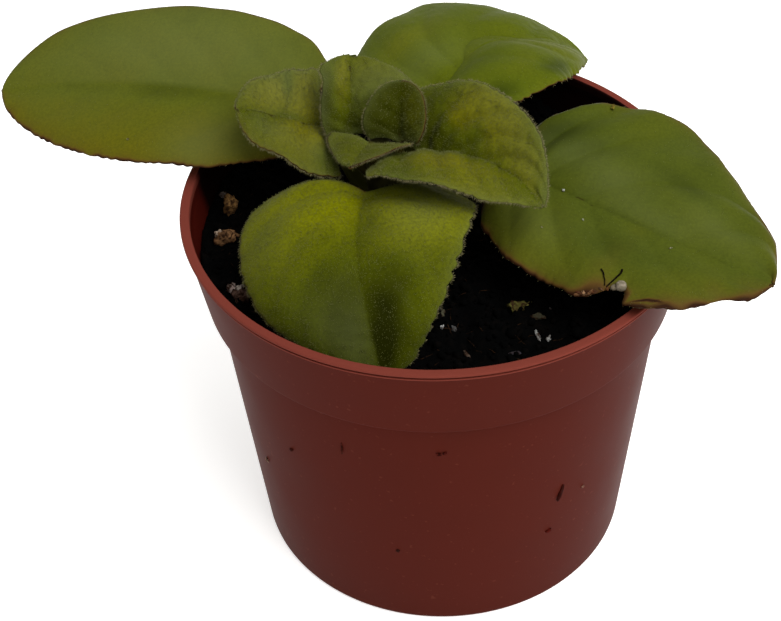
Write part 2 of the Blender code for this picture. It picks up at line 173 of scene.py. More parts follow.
camera_data = bpy.data.cameras.new("camera")
camera_data.lens = CAMERA_LENS
camera_data.sensor_width = SENSOR_WIDTH
camera_data.clip_start = 0.01
camera_data.clip_end = 20.0
camera = bpy.data.objects.new("camera", camera_data)
camera.matrix_world = (
    Matrix.Translation([part * MM for part in CAMERA_PLACE])
    @ Matrix.Rotation(math.radians(CAMERA_YAW_DEG), 4, "Z")
    @ Matrix.Rotation(math.radians(90 - CAMERA_PITCH_DEG), 4, "X")
    @ Matrix.Rotation(math.radians(CAMERA_ROLL_DEG), 4, "Z"))
bpy.context.scene.collection.objects.link(camera)
bpy.context.scene.camera = camera


# Pot: a round nursery pot of terracotta-coloured polypropylene, injection moulded in one
# piece. It has a lipped rim with a thin bead under it, a tapered collar that ends in a step,
# a tapered body, and a raised underside with drain holes.
POT_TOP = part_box("pot")[1].z / MM
POT_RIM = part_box("pot")[1].x / MM
POT_WALL = 1.3
LIP_HEIGHT, LIP_OVERHANG = 1.50, 0.60
# Radius and height of the two edges of the collar's step
COLLAR_FOOT = (42.0, 57.2)
BODY_TOP = (40.2, 56.4)
# The pot stands on a ring under its wall and on a pad in the middle, and its underside is
# raised by the recess between them, where the drain holes are
BASE_RADIUS, FOOT_INNER, PAD_RADIUS, RECESS = 34.8, 28.5, 8.5, 2.0
DRAIN_HOLES, DRAIN_RADIUS, DRAIN_RING = 6, 3.0, 19.0
POT_SIDES = 256
PLASTIC, PLASTIC_DUST = ("451810", "4a1a12"), "6a3a2c"
# Painted light: the rim's lip is given a lighter, redder colour, as lit from above
PLASTIC_RIM_LIT = "6e3329"
# The inside is a darker copy of the same plastic and dust: painted shade inside the pot
PLASTIC_INSIDE_SHADED, INSIDE_DUST_SHADED = ("3c0e08", "44120b"), "2a1410"
# Painted shadow of the leaves on the inner wall behind the middle: its colour, share,
# and Y where it sets in
PAINTED_SHADOW_COLOUR, PAINTED_SHADOW_SHARE = "050303", 0.95
PAINTED_SHADOW_START, PAINTED_SHADOW_FULL = 6.5, 9.0
# Corners of the outline as radius, height and length of the rounding, from the middle of the
# underside outward, up the outside, over the rim and down the inside to the middle of the floor
POT_OUTSIDE = (
    (0.0, 0.0, 0.0),
    (PAD_RADIUS, 0.0, 0.4),
    (PAD_RADIUS + RECESS, RECESS, 0.5),
    (FOOT_INNER - RECESS, RECESS, 0.5),
    (FOOT_INNER, 0.0, 0.4),
    (BASE_RADIUS + 0.1, 0.0, 1.0),
    (*BODY_TOP, 0.30),
    (*COLLAR_FOOT, 0.42),
    (POT_RIM - LIP_OVERHANG, POT_TOP - LIP_HEIGHT, 0.12),
    (POT_RIM - 0.30, POT_TOP - 1.38, 0.12),
    (POT_RIM - 0.28, POT_TOP - 1.08, 0.10),
    (POT_RIM - 0.80, POT_TOP - 0.98, 0.06),
    (POT_RIM - 0.80, POT_TOP - 0.66, 0.06),
    (POT_RIM - 0.04, POT_TOP - 0.52, 0.14),
    (POT_RIM, POT_TOP, 0.36),
)
POT_INSIDE = (
    (POT_RIM - POT_WALL - 0.45, POT_TOP, 0.45),
    (POT_RIM - POT_WALL - 0.50, POT_TOP - 3.2, 0.6),
    (COLLAR_FOOT[0] - POT_WALL, COLLAR_FOOT[1] - 0.3, 0.5),
    (BODY_TOP[0] - POT_WALL, BODY_TOP[1] - 1.1, 0.5),
    (BASE_RADIUS - POT_WALL + 0.1, POT_WALL, 1.8),
    (FOOT_INNER + 0.5, POT_WALL, 0.4),
    (FOOT_INNER - RECESS + 0.5, POT_WALL + RECESS, 0.5),
    (PAD_RADIUS + RECESS - 0.5, POT_WALL + RECESS, 0.5),
    (PAD_RADIUS - 0.5, POT_WALL, 0.4),
    (0.0, POT_WALL, 0.0),
)
# Bark splinters and grains stuck to the wall: bearing in degrees, height, half length, half
# width, turn in degrees, and colour
POT_DIRT = (
    (-56.6, 31.0, 2.1, 0.40, 76, "300b05"),
    (-59.2, 20.6, 0.48, 0.44, 35, "470f08"),
    (-48.3, 28.3, 0.30, 0.24, 0, "7e5a4c"),
    (-103.1, 20.9, 0.34, 0.26, 40, "2a1510"),
    (-148.9, 27.7, 0.50, 0.44, 10, "a07f6e"),
    (-115.6, 47.3, 1.25, 0.17, 88, "451a12"),
    (-89.4, 49.9, 0.36, 0.20, 20, "45140f"),
    (-90.9, 49.7, 0.42, 0.20, -10, "45140f"),
    (-133.3, 39.4, 0.50, 0.24, 25, "3e1a14"),
    (40.0, 36.0, 0.9, 0.22, 60, "2a160f"),
    (95.0, 22.0, 0.45, 0.34, 15, "9c7263"),
    (150.0, 44.0, 0.6, 0.2, 100, "24130d"),
)
DIRT_DARK, DIRT_DEPTH, DIRT_RISE = "200703", 0.22, 0.12


def rounded(corners, steps=6):
    """An outline with its corners rounded off.

    Each inner corner becomes a quadratic curve: it leaves one side at the rounding's length
    before the corner, bends towards the corner, and joins the next side as far beyond it.
    """
    rows = np.array(corners, float)
    spots, cuts = rows[:, :2], rows[1:-1, 2:]
    back = spots[:-2] - spots[1:-1]
    ahead = spots[2:] - spots[1:-1]
    before = spots[1:-1] + back / np.linalg.norm(back, axis=1, keepdims=True) * cuts
    after = spots[1:-1] + ahead / np.linalg.norm(ahead, axis=1, keepdims=True) * cuts
    s = np.linspace(0, 1, steps)[None, :, None]
    curve = ((1 - s) ** 2 * before[:, None] + 2 * s * (1 - s) * spots[1:-1, None]
             + s ** 2 * after[:, None])
    return np.concatenate([spots[:1], curve.reshape(-1, 2), spots[-1:]])


def joined_rings(count, sides):
    """Faces of a skin over equal rings that follow one another, closed at both ends.

    The points are the rings in turn, then the end point before the first and the one past
    the last. Squares join neighbouring rings, and triangles join an end ring to its point.
    """
    row = np.arange(count - 1)[:, None] * sides
    here = np.arange(sides)
    there = (here + 1) % sides
    squares = np.stack([row + here, row + there, row + sides + there, row + sides + here],
                       axis=-1).reshape(-1, 4)
    last, start = (count - 1) * sides, count * sides
    caps = np.concatenate([np.stack([0 * here + start, there, here], axis=-1),
                           np.stack([0 * here + start + 1, last + here, last + there], axis=-1)])
    return squares.tolist() + caps.tolist()


def turned(profile, sides):
    """Points and faces of an outline turned about Z.

    A point of the outline (radius, height) becomes a ring (radius cos a, radius sin a,
    height), and both ends close on the axis.
    """
    angle = 2 * np.pi * np.arange(sides) / sides
    ring = profile[1:-1]
    points = np.stack([ring[:, :1] * np.cos(angle), ring[:, :1] * np.sin(angle),
                       ring[:, 1:] + 0 * angle], axis=-1).reshape(-1, 3)
    points = np.concatenate([points, [(0, 0, profile[0, 1]), (0, 0, profile[-1, 1])]])
    return points, joined_rings(len(ring), sides)


def add_piece(name, points, faces, *materials):
    """A smooth-shaded mesh object at the origin, from points in millimetres."""
    mesh = bpy.data.meshes.new(name)
    mesh.from_pydata((np.asarray(points) * MM).tolist(), [], faces)
    for material in materials:
        mesh.materials.append(material)
    mesh.shade_smooth()
    piece = bpy.data.objects.new(name, mesh)
    bpy.context.scene.collection.objects.link(piece)
    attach(piece, "root")
    return piece


def moulded_plastic(name, colours, dust, painted_shadow):
    """Polypropylene from a polished mould: satin, a little uneven, with dust grains on it.

    The rim's lip is painted lighter and redder than the wall, as painted light from above.
    The last argument is the share of painted shadow that darkens the wall in the back half
    of the pot.
    """
    material, tree = new_material(name)
    place = node(tree, "TexCoord", {}).outputs["Object"]
    clouds = node(tree, "TexNoise", {"Vector": place, "Scale": 1 / (14 * MM), "Detail": 4.0})
    grains = node(tree, "TexNoise", {"Vector": place, "Scale": 1 / (0.9 * MM), "Detail": 1.0})
    dusty = node(tree, "MapRange", {"Value": grains.outputs["Fac"], "From Min": 0.70,
                                    "From Max": 0.78, "To Max": 0.35})
    spot = node(tree, "SeparateXYZ", {0: place})
    # Painted light: above the lip's underside the colour turns to the lighter rim colour
    high = node(tree, "MapRange", {"Value": spot.outputs["Z"],
                                   "From Min": (POT_TOP - LIP_HEIGHT - 0.05) * MM,
                                   "From Max": (POT_TOP - LIP_HEIGHT + 0.10) * MM})
    # Painted shadow: towards the back the wall turns near black, where leaves shade it
    back = node(tree, "MapRange", {"Value": spot.outputs["Y"], "From Min": PAINTED_SHADOW_START * MM,
                                   "From Max": PAINTED_SHADOW_FULL * MM, "To Max": painted_shadow})
    colour = linear(colours[0])
    for share, layer in ((clouds, colours[1]), (dusty, dust), (high, PLASTIC_RIM_LIT),
                         (back, PAINTED_SHADOW_COLOUR)):
        colour = node(tree, "Mix", {0: share.outputs[0], 6: colour, 7: linear(layer)},
                      data_type="RGBA").outputs[2]
    rough = node(tree, "MapRange", {"Value": clouds.outputs["Fac"], "To Min": 0.36,
                                    "To Max": 0.50})
    peel = node(tree, "TexNoise", {"Vector": place, "Scale": 1 / (0.6 * MM), "Detail": 2.0})
    bump = node(tree, "Bump", {"Height": peel.outputs["Fac"], "Strength": 0.12,
                               "Distance": 0.03 * MM})
    finish_material(tree, node(tree, "BsdfPrincipled", {
        "Base Color": colour, "Roughness": rough.outputs[0], "IOR": 1.49,
        "Specular IOR Level": 0.008, "Normal": bump.outputs[0]}))
    return material


def drilled(piece, centres, radius, bottom, top):
    """Take upright round holes out of a piece, with one Boolean that is applied."""
    drill = bmesh.new()
    for x, y in centres:
        bmesh.ops.create_cone(
            drill, cap_ends=True, segments=32, radius1=radius * MM, radius2=radius * MM,
            depth=(top - bottom) * MM,
            matrix=Matrix.Translation((x * MM, y * MM, (top + bottom) / 2 * MM)))
    cutter_mesh = bpy.data.meshes.new("drill")
    drill.to_mesh(cutter_mesh)
    drill.free()
    cutter = bpy.data.objects.new("drill", cutter_mesh)
    bpy.context.scene.collection.objects.link(cutter)
    step = piece.modifiers.new("holes", "BOOLEAN")
    step.operation = "DIFFERENCE"
    step.object = cutter
    evaluated = piece.evaluated_get(bpy.context.evaluated_depsgraph_get())
    cut_mesh = bpy.data.meshes.new_from_object(evaluated)
    piece.modifiers.clear()
    piece.data = cut_mesh
    bpy.data.objects.remove(cutter, do_unlink=True)


outside = rounded(POT_OUTSIDE + POT_INSIDE[:1])
profile = rounded(POT_OUTSIDE + POT_INSIDE)
pot_points, pot_faces = turned(profile, POT_SIDES)
pot = add_piece("pot_shell", pot_points, pot_faces,
                moulded_plastic("terracotta_polypropylene", PLASTIC, PLASTIC_DUST, 0.0),
                moulded_plastic("terracotta_polypropylene_inside_shaded", PLASTIC_INSIDE_SHADED, INSIDE_DUST_SHADED,
                                PAINTED_SHADOW_SHARE))
# The inner faces take the darker copy of the plastic, painted shade inside the pot
inner_faces = np.zeros(len(pot_faces), np.int32)
inner_faces[(len(outside) - 1) * POT_SIDES:] = 1
inner_faces[-2 * POT_SIDES:-POT_SIDES] = 0
pot.data.polygons.foreach_set("material_index", inner_faces)
hole_bearings = 2 * np.pi * (np.arange(DRAIN_HOLES) + 0.5) / DRAIN_HOLES
drilled(pot, DRAIN_RING * np.stack([np.cos(hole_bearings), np.sin(hole_bearings)], axis=-1),
        DRAIN_RADIUS, 0.0, 3 * RECESS)
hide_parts("pot")


def waves(points, wavelength, seed, count=14):
    """Smooth random relief, mostly between -1 and 1.

    It adds up sine waves of one wavelength that run in seeded random directions, each with
    its own phase, and divides by the root of half their number.
    """
    draw = np.random.default_rng(seed)
    ways = draw.normal(size=(3, count))
    ways = ways / np.linalg.norm(ways, axis=0) * 2 * np.pi / wavelength
    return np.sin(points @ ways + draw.uniform(0, 2 * np.pi, count)).sum(-1) / (count / 2) ** 0.5


def chunk(sizes, seed, square=0.75, rough=0.22, rows=12, sides=18):
    """An angular grain about the origin, with half sizes along x, y and z.

    It is a ball whose sines and cosines are raised to a power below one, so that it grows
    blunt flat sides, then swollen and pinched by two scales of random waves.
    """
    v = np.linspace(-np.pi / 2, np.pi / 2, rows + 1)[1:-1, None]
    u = 2 * np.pi * np.arange(sides)[None, :] / sides

    def blunt(value):
        return np.sign(value) * np.abs(value) ** square

    ball = np.stack([blunt(np.cos(v)) * blunt(np.cos(u)), blunt(np.cos(v)) * blunt(np.sin(u)),
                     blunt(np.sin(v)) + 0 * u], axis=-1).reshape(-1, 3)
    ball = np.concatenate([ball, [(0, 0, -1), (0, 0, 1)]])
    swell = 1 + rough * waves(ball, 1.3, seed) + rough * 0.5 * waves(ball, 0.6, seed + 1)
    return ball * swell[:, None] * np.array(sizes), joined_rings(rows - 1, sides)


def dull_grain(name, colour, dark):
    """Bark, grit or dirt: dull, with paler and darker fibres under a millimetre wide."""
    material, tree = new_material(name)
    place = node(tree, "TexCoord", {}).outputs["Object"]
    fibres = node(tree, "TexNoise", {"Vector": place, "Scale": 1 / (0.9 * MM), "Detail": 3.0,
                                     "Distortion": 1.0})
    share = node(tree, "MapRange", {"Value": fibres.outputs["Fac"], "From Min": 0.38,
                                    "From Max": 0.62})
    mixed = node(tree, "Mix", {0: share.outputs[0], 6: linear(dark), 7: linear(colour)},
                 data_type="RGBA")
    bump = node(tree, "Bump", {"Height": fibres.outputs["Fac"], "Strength": 0.6,
                               "Distance": 0.2 * MM})
    finish_material(tree, node(tree, "BsdfPrincipled", {
        "Base Color": mixed.outputs[2], "Roughness": 0.9, "Specular IOR Level": 0.03,
        "Normal": bump.outputs[0]}))
    return material


def turn_about(points, axis, degrees):
    """Points turned about a coordinate axis through the origin."""
    matrix = np.array(Matrix.Rotation(math.radians(degrees), 3, axis))
    return np.asarray(points) @ matrix.T


def wall_radius(z):
    """Radius of the pot's outer wall at a height."""
    if z > COLLAR_FOOT[1]:
        share = (z - COLLAR_FOOT[1]) / (POT_TOP - LIP_HEIGHT - COLLAR_FOOT[1])
        return COLLAR_FOOT[0] + share * (POT_RIM - LIP_OVERHANG - COLLAR_FOOT[0])
    return BASE_RADIUS + z / BODY_TOP[1] * (BODY_TOP[0] - BASE_RADIUS)


for index, (bearing, height, half_long, half_wide, turn, colour) in enumerate(POT_DIRT):
    dirt_points, dirt_faces = chunk((half_long, half_wide, min(DIRT_DEPTH, half_wide)),
                                    40 + index, rows=8, sides=12)
    dirt_points = turn_about(turn_about(dirt_points, "Z", turn), "X", 90)
    dirt_points = turn_about(dirt_points, "Z", 90)
    dirt_points = dirt_points + (wall_radius(height) + DIRT_RISE, 0, height)
    dirt = add_piece("pot_dirt_%d" % index, turn_about(dirt_points, "Z", bearing), dirt_faces,
                     dull_grain("dirt_%d" % index, colour, DIRT_DARK))


# Soil: dark peat pressed into the pot, its top about eight millimetres below the rim. It is
# loose and crumbly on top, with root fibres, bits of pine bark and a few pale grains of perlite
# lying half sunk in it.
SOIL_LEVEL = 65.4
SOIL_GAP = 0.1
SOIL_SIDES = 360
SOIL_RINGS = 96
CRUMBS, CRUMB_SIZES = 2600, (0.30, 1.25)
FIBRES, FIBRE_LENGTHS, FIBRE_WIDTHS = 420, (1.2, 4.0), (0.06, 0.16)
# Peat colours: dark peat, pressed near black as painted shade in the pot
PEAT_SHADED = ("020202", "070504")
FIBRE_COLOUR, FIBRE_DARK = "3a2616", "150d08"
BARK_DARK = "2a1a10"
# Bits that lie on the soil: x, y, half sizes, turn in degrees, colour
SOIL_BITS = (
    (-37.3, 6.6, 1.1, 1.6, 1.7, 0, "7a5a34"),
    (-37.2, -0.9, 1.8, 1.0, 1.3, 5, "84603f"),
    (-38.4, -0.3, 1.0, 0.9, 1.35, 50, "b09a84"),
    (-35.4, -15.2, 0.9, 0.8, 1.0, 130, "a8958c"),
    (-34.2, -16.0, 0.7, 0.6, 0.7, 30, "c9bcae"),
    (-33.6, -18.2, 1.5, 1.0, 1.0, 150, "5c463c"),
    (-39.0, 11.4, 0.7, 0.5, 0.5, 20, "5a524c"),
    (13.2, -22.2, 1.45, 0.75, 0.8, 12, "555126"),
    (14.9, -21.2, 0.9, 0.3, 0.3, 35, "6f6a34"),
    (16.3, -24.2, 1.2, 0.55, 0.5, 5, "3a382a"),
    (19.2, -22.3, 0.6, 0.5, 0.4, 130, "5c5e60"),
    (16.2, -28.6, 0.28, 1.2, 0.35, 14, "7c7c78"),
    (17.9, -28.9, 0.36, 0.34, 0.36, 80, "8a8a86"),
    (0.4, -25.6, 0.32, 0.30, 0.32, 0, "b4b4b0"),
    (2.4, -26.2, 0.35, 0.6, 0.35, 10, "4e4e4c"),
    (0.5, -22.5, 0.4, 0.9, 0.4, 5, "4c4a3a"),
    (4.4, -32.0, 0.35, 1.0, 0.35, 20, "4e4238"),
    (12.0, -32.3, 1.3, 0.35, 0.35, 8, "34343a"),
    (24.5, 27.0, 1.8, 1.1, 1.1, 50, "5a3a22"),
    (8.0, 32.0, 1.6, 1.0, 1.0, 95, "7a5433"),
    (-12.0, 33.0, 1.4, 0.9, 1.0, 140, "9a8d7f"),
    (-24.0, 27.0, 2.0, 1.2, 1.1, 30, "5b3822"),
    (30.5, 14.0, 1.0, 0.8, 0.8, 75, "8d8378"),
)


def soil_height(x, y):
    """Height of the soil's surface: a slow swell, lumps three millimetres across and crumbs."""
    flat = np.stack([x, y, 0 * x], axis=-1)
    return (SOIL_LEVEL + 0.45 * waves(flat, 27.0, 1) + 0.40 * waves(flat, 7.0, 2)
            + 0.30 * np.abs(waves(flat, 3.1, 3)) + 0.14 * waves(flat, 1.3, 4))


def peat_surface():
    """Peat: near black and quite dull, with slightly browner flecks."""
    material, tree = new_material("peat")
    place = node(tree, "TexCoord", {}).outputs["Object"]
    flecks = node(tree, "TexNoise", {"Vector": place, "Scale": 1 / (1.6 * MM), "Detail": 4.0})
    share = node(tree, "MapRange", {"Value": flecks.outputs["Fac"], "From Min": 0.5,
                                    "From Max": 0.75})
    # Near black: dark peat, darkened further as painted shade in the pot
    mixed = node(tree, "Mix", {0: share.outputs[0], 6: linear(PEAT_SHADED[0]), 7: linear(PEAT_SHADED[1])},
                 data_type="RGBA")
    bump = node(tree, "Bump", {"Height": flecks.outputs["Fac"], "Strength": 0.8,
                               "Distance": 0.3 * MM})
    finish_material(tree, node(tree, "BsdfPrincipled", {
        "Base Color": mixed.outputs[2], "Roughness": 0.95, "Specular IOR Level": 0.03,
        "Normal": bump.outputs[0]}))
    return material


def strands(roots, ways, lengths, widths, seed, bend=0.25):
    """Points and faces of tapered three-sided strands, one for each root.

    A strand starts in a point, is widest at a triangle two fifths of the way up, and ends in
    a point. Triangle and tip lean over by a seeded random share of the length. It has five
    points and six faces, because there are tens of thousands.
    """
    draw = np.random.default_rng(seed)
    count = len(roots)
    ways = ways / np.linalg.norm(ways, axis=1, keepdims=True)
    side = np.cross(ways, draw.normal(size=(count, 3)))
    side = side / np.linalg.norm(side, axis=1, keepdims=True)
    other = np.cross(ways, side)
    lean = side * (draw.normal(size=(count, 1)) * bend * lengths[:, None])
    lean[:, 2] -= 0.4 * bend * lengths
    turns = 2 * np.pi * np.arange(3) / 3
    ring = (np.cos(turns)[None, :, None] * side[:, None]
            + np.sin(turns)[None, :, None] * other[:, None]) * widths[:, None, None] / 2
    knee = (roots + ways * (0.40 * lengths)[:, None] + 0.15 * lean)[:, None] + ring * 1.15
    tip = (roots + ways * lengths[:, None] + lean)[:, None]
    points = np.concatenate([roots[:, None], knee, tip], axis=1).reshape(-1, 3)
    corners = np.array([(0, 2, 1), (0, 3, 2), (0, 1, 3), (1, 2, 4), (2, 3, 4), (3, 1, 4)])
    faces = corners[None] + 5 * np.arange(count)[:, None, None]
    return points, faces.reshape(-1, 3).tolist()


def scattered(count, radius, draw):
    """Random places spread evenly over a disc about the origin."""
    reach = radius * np.sqrt(draw.uniform(0, 1, count))
    angle = draw.uniform(0, 2 * np.pi, count)
    return reach * np.cos(angle), reach * np.sin(angle)


def crumbs(count, radius, seed):
    """Points and faces of loose crumbs: twenty-sided balls, each squashed, turned and set down.

    Three random columns made square to each other turn a crumb, and three random half sizes
    squash it. Small crumbs are more common than large ones.
    """
    ball = bmesh.new()
    bmesh.ops.create_icosphere(ball, subdivisions=1, radius=1.0)
    corners = np.array([corner.co[:] for corner in ball.verts])
    sides = np.array([[corner.index for corner in face.verts] for face in ball.faces])
    ball.free()
    draw = np.random.default_rng(seed)
    turns = np.linalg.qr(draw.normal(size=(count, 3, 3)))[0]
    turns = turns * np.sign(np.linalg.det(turns))[:, None, None]
    low, high = CRUMB_SIZES
    size = low + (high - low) * draw.uniform(0, 1, count) ** 3
    squash = size[:, None] * draw.uniform(0.55, 1.0, (count, 3))
    x, y = scattered(count, radius - 0.6, draw)
    place = np.stack([x, y, soil_height(x, y) + 0.25 * size], axis=-1)
    points = (corners[None] * squash[:, None]) @ turns + place[:, None]
    faces = sides[None] + len(corners) * np.arange(count)[:, None, None]
    return points.reshape(-1, 3), faces.reshape(-1, 3).tolist()


peat = peat_surface()
soil_radius = wall_radius(SOIL_LEVEL) - POT_WALL - SOIL_GAP
soil_floor = POT_WALL + RECESS + 0.1
body_inside = BODY_TOP[0] - POT_WALL - SOIL_GAP
ring_radii = soil_radius * np.linspace(1, 0, SOIL_RINGS + 1)
soil_profile = np.array([(0.0, soil_floor), (wall_radius(soil_floor) - POT_WALL - 0.2, soil_floor),
                         (body_inside, BODY_TOP[1] - 1.2),
                         (COLLAR_FOOT[0] - POT_WALL - SOIL_GAP, COLLAR_FOOT[1])]
                        + [(radius, SOIL_LEVEL) for radius in ring_radii])
soil_points, soil_faces = turned(soil_profile, SOIL_SIDES)
on_top = soil_points[:, 2] > SOIL_LEVEL - 0.01
soil_points[on_top, 2] = soil_height(soil_points[on_top, 0], soil_points[on_top, 1])
soil = add_piece("soil_bed", soil_points, soil_faces, peat)
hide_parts("soil")
soil_crumbs = add_piece("soil_crumbs", *crumbs(CRUMBS, soil_radius, 11), peat)

fibre_draw = np.random.default_rng(12)
fibre_x, fibre_y = scattered(FIBRES, soil_radius - 3.0, fibre_draw)
fibre_ways = fibre_draw.normal(size=(FIBRES, 3)) * (1.0, 1.0, 0.18) + (0, 0, 0.12)
fibre_roots = np.stack([fibre_x, fibre_y, soil_height(fibre_x, fibre_y) + 0.15], axis=-1)
fibre_lengths = fibre_draw.uniform(*FIBRE_LENGTHS, FIBRES)
fibre_widths = fibre_draw.uniform(*FIBRE_WIDTHS, FIBRES)
fibres = add_piece("soil_fibres",
                   *strands(fibre_roots, fibre_ways, fibre_lengths, fibre_widths, 13),
                   dull_grain("root_fibre", FIBRE_COLOUR, FIBRE_DARK))

for index, (x, y, half_long, half_wide, half_high, turn, colour) in enumerate(SOIL_BITS):
    bit_points, bit_faces = chunk((half_long, half_wide, half_high), 60 + index)
    rest = float(soil_height(np.array([x]), np.array([y]))[0]) + 0.45 * half_high
    bit = add_piece("soil_bit_%d" % index, turn_about(bit_points, "Z", turn) + (x, y, rest),
                    bit_faces, dull_grain("bit_%d" % index, colour, BARK_DARK))


# Stem: the short fleshy stem that stands in the soil and carries every leaf stalk, brownish
# green and knobbly with the scars of leaves that have fallen.
STEM_PLACE = (-9.5, 2.5)
STEM_FOOT, STEM_TOP = 56.5, 85.0
STEM_RADII = (3.6, 2.1)
STEM_SIDES, STEM_RINGS = 64, 60
# Stem greens, darkened as painted shade under the leaves
STEM_SHADED_COLOURS = ("26230c", "333114")


def tube(path, radii, sides):
    """Points and faces of a round tube with closed ends along a path.

    At each point of the path a circle stands square to the path's direction: its first axis
    is the direction crossed with a fixed one, its second the direction crossed with that.
    """
    direction = np.gradient(path, axis=0)
    direction = direction / np.linalg.norm(direction, axis=1, keepdims=True)
    fixed = np.array((0.0, 0.0, 1.0) if np.abs(direction[:, 2]).max() < 0.97 else (1.0, 0.0, 0.0))
    first = np.cross(direction, fixed)
    first = first / np.linalg.norm(first, axis=1, keepdims=True)
    second = np.cross(direction, first)
    angle = 2 * np.pi * np.arange(sides) / sides
    ring = (np.cos(angle)[None, :, None] * first[:, None]
            + np.sin(angle)[None, :, None] * second[:, None])
    points = (path[:, None] + ring * np.asarray(radii)[:, None, None]).reshape(-1, 3)
    return np.concatenate([points, path[:1], path[-1:]]), joined_rings(len(path), sides)


def stem_flesh():
    """Living stem: waxy green, browner where it is old, with fine corky spots."""
    material, tree = new_material("stem_flesh")
    place = node(tree, "TexCoord", {}).outputs["Object"]
    spots = node(tree, "TexNoise", {"Vector": place, "Scale": 1 / (1.8 * MM), "Detail": 4.0})
    # The two stem greens are darkened as painted shade under the leaves
    mixed = node(tree, "Mix", {0: spots.outputs["Fac"], 6: linear(STEM_SHADED_COLOURS[0]),
                               7: linear(STEM_SHADED_COLOURS[1])}, data_type="RGBA")
    bump = node(tree, "Bump", {"Height": spots.outputs["Fac"], "Strength": 0.5,
                               "Distance": 0.2 * MM})
    finish_material(tree, node(tree, "BsdfPrincipled", {
        "Base Color": mixed.outputs[2], "Roughness": 0.6, "Specular IOR Level": 0.03,
        "Normal": bump.outputs[0]}))
    return material


def stem_radius(z):
    """Radius of the stem at a height: a slow taper whose top is rounded like an egg's."""
    share = np.clip((z - STEM_FOOT) / (STEM_TOP - STEM_FOOT), 0, 1)
    taper = STEM_RADII[0] + (STEM_RADII[1] - STEM_RADII[0]) * share
    return taper * np.sqrt(np.clip(1 - np.maximum(share - 0.86, 0) ** 2 / 0.14 ** 2, 0, 1))


stem_z = STEM_FOOT + (STEM_TOP - STEM_FOOT) * np.sin(np.linspace(0, np.pi / 2, STEM_RINGS))
stem_outline = np.stack([stem_radius(stem_z), stem_z], axis=-1)
stem_profile = np.concatenate([[(0, STEM_FOOT)], stem_outline[:-1], [(0, STEM_TOP)]])
stem_points, stem_faces = turned(stem_profile, STEM_SIDES)
scars = 1 + 0.05 * np.sin(stem_points[:, 2] * 2.6) + 0.04 * waves(stem_points, 2.4, 21)
stem_points[:, :2] = stem_points[:, :2] * scars[:, None] + STEM_PLACE
stem = add_piece("stem_core", stem_points, stem_faces, stem_flesh())
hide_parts("stem")


# Leaves: nine living leaves of one rosette, each a fleshy blade on a stout hairy stalk. The
# three old ones are large, smooth and nearly bare, and two of them brown at the margin; the
# young ones near the heart are quilted between their veins and thick with short pale hairs.
SKIN_ABOVE, SKIN_BELOW = 0.20, 0.48
EDGE_ROUND = 0.35
LOBE_SWING_DEG = 150.0
STALK_SIDES, STALK_RINGS = 16, 26
BROWNS = ("54381a", "2c180c")
# Grey of fine down, also mixed in as painted sheen and painted light, and the tint of the skin's
# velvet sheen
DOWN_AND_SHEEN_GREY, SHEEN_COLOUR = "6c7448", "c9d0a0"
# How velvety the skin is and how deep its pores show
SKIN_FINISH = {"old_leaf": (0.03, 0.25), "young_leaf": (0.05, 0.35)}
# Shares that the blades give their material, with the value that each has on a stalk; a
# stalk's gold of -1.2 deepens its green fully, as painted shade among the leaves
LEAF_SHARES = {"gold": -1.2, "vein": 1.0, "brown": 0.1, "down_and_sheen": 0.0, "upper": 1.0}
HAIR_COLOURS, FRINGE_COLOUR = ("4c5016", "7c7e48"), "77704a"
HAIR_WIDTHS, HAIR_SPREAD = (0.045, 0.065), 0.32
# Hairs below to one above, and how the fringe differs: its number for a millimetre of edge
# to one for a square millimetre of skin, its length and its spread
UNDER_SHARE, FRINGE_COUNT, FRINGE_LENGTH, FRINGE_SPREAD = 0.3, 1.7, 1.4, 1.5


@dataclass
class Leaf:
    """One leaf's form and finish; lengths in millimetres and angles in degrees.

    base is the point where the midrib enters the blade, heading its direction in plan there,
    turn how far that swings by the tip. rise is the midrib's slope at base and tip, and bend
    how late it changes. roll tips the blade about its midrib, at base and tip, left side up.
    width is the half width left and right. fullness, shoulder and point shape the outline:
    how wide it starts, how soon it widens, how pointed it ends. lobe is how far the left and
    the right basal lobe reach back. fold is each half's slope away from the midrib, and droop
    how far it bends down by its edge. waves are the margin's size, count and phase, and
    petiole is the stalk's radius and its height on the stem.

    veins are the left and the right side veins, each as its start on the midrib and its end
    at the margin in shares of the length. quilt is how far the blade bulges between them at
    base and tip, and the right half's share of that. groove is how deep the midrib lies at
    base and tip, and net the fine relief. teeth are the pitch of the margin's teeth and
    their depth left and right, margin the width of the brown edge left and right and how
    much wider it grows towards the tip. gold is how yellow the base, the tip, the left and
    the right are, or below zero how deep. greens are the main, yellow, deep and under
    colours, hairs the hairs to a square millimetre and their length, and grid the rows and
    columns of the mesh. sway is how far the midrib wanders sideways, where it first crosses
    the middle and over what length it swings. bite is where a scrap of the right margin is
    missing, from, to and how deep, in shares. bulges are places where the margin stands out:
    side, share of the length, spread and size. tone_and_shading are yellower or deeper
    places, partly the leaf's own tone and partly painted light and shade: painted shade in
    grooves and where other leaves shade the blade, painted light where a shadow is lifted.
    down_and_sheen are greyer places, partly fine down and partly painted sheen of the bright
    air and painted light. For both: amount, share of the length, side, and radius along and
    across.
    """
    name: str
    slot: str
    base: tuple
    heading: float
    turn: float
    rise: tuple
    bend: float
    length: float
    roll: tuple
    width: tuple
    fullness: float
    shoulder: float
    point: float
    lobe: tuple
    fold: tuple
    droop: tuple
    waves: tuple
    petiole: tuple
    veins: tuple
    quilt: tuple
    groove: tuple
    net: float
    teeth: tuple
    margin: tuple
    gold: tuple
    greens: tuple
    hairs: tuple
    grid: tuple
    sway: tuple = (0.0, 0.0, 1.0)
    bite: tuple = (0.0, 0.0, 0.0)
    bulges: tuple = ()
    tone_and_shading: tuple = ()
    down_and_sheen: tuple = ()
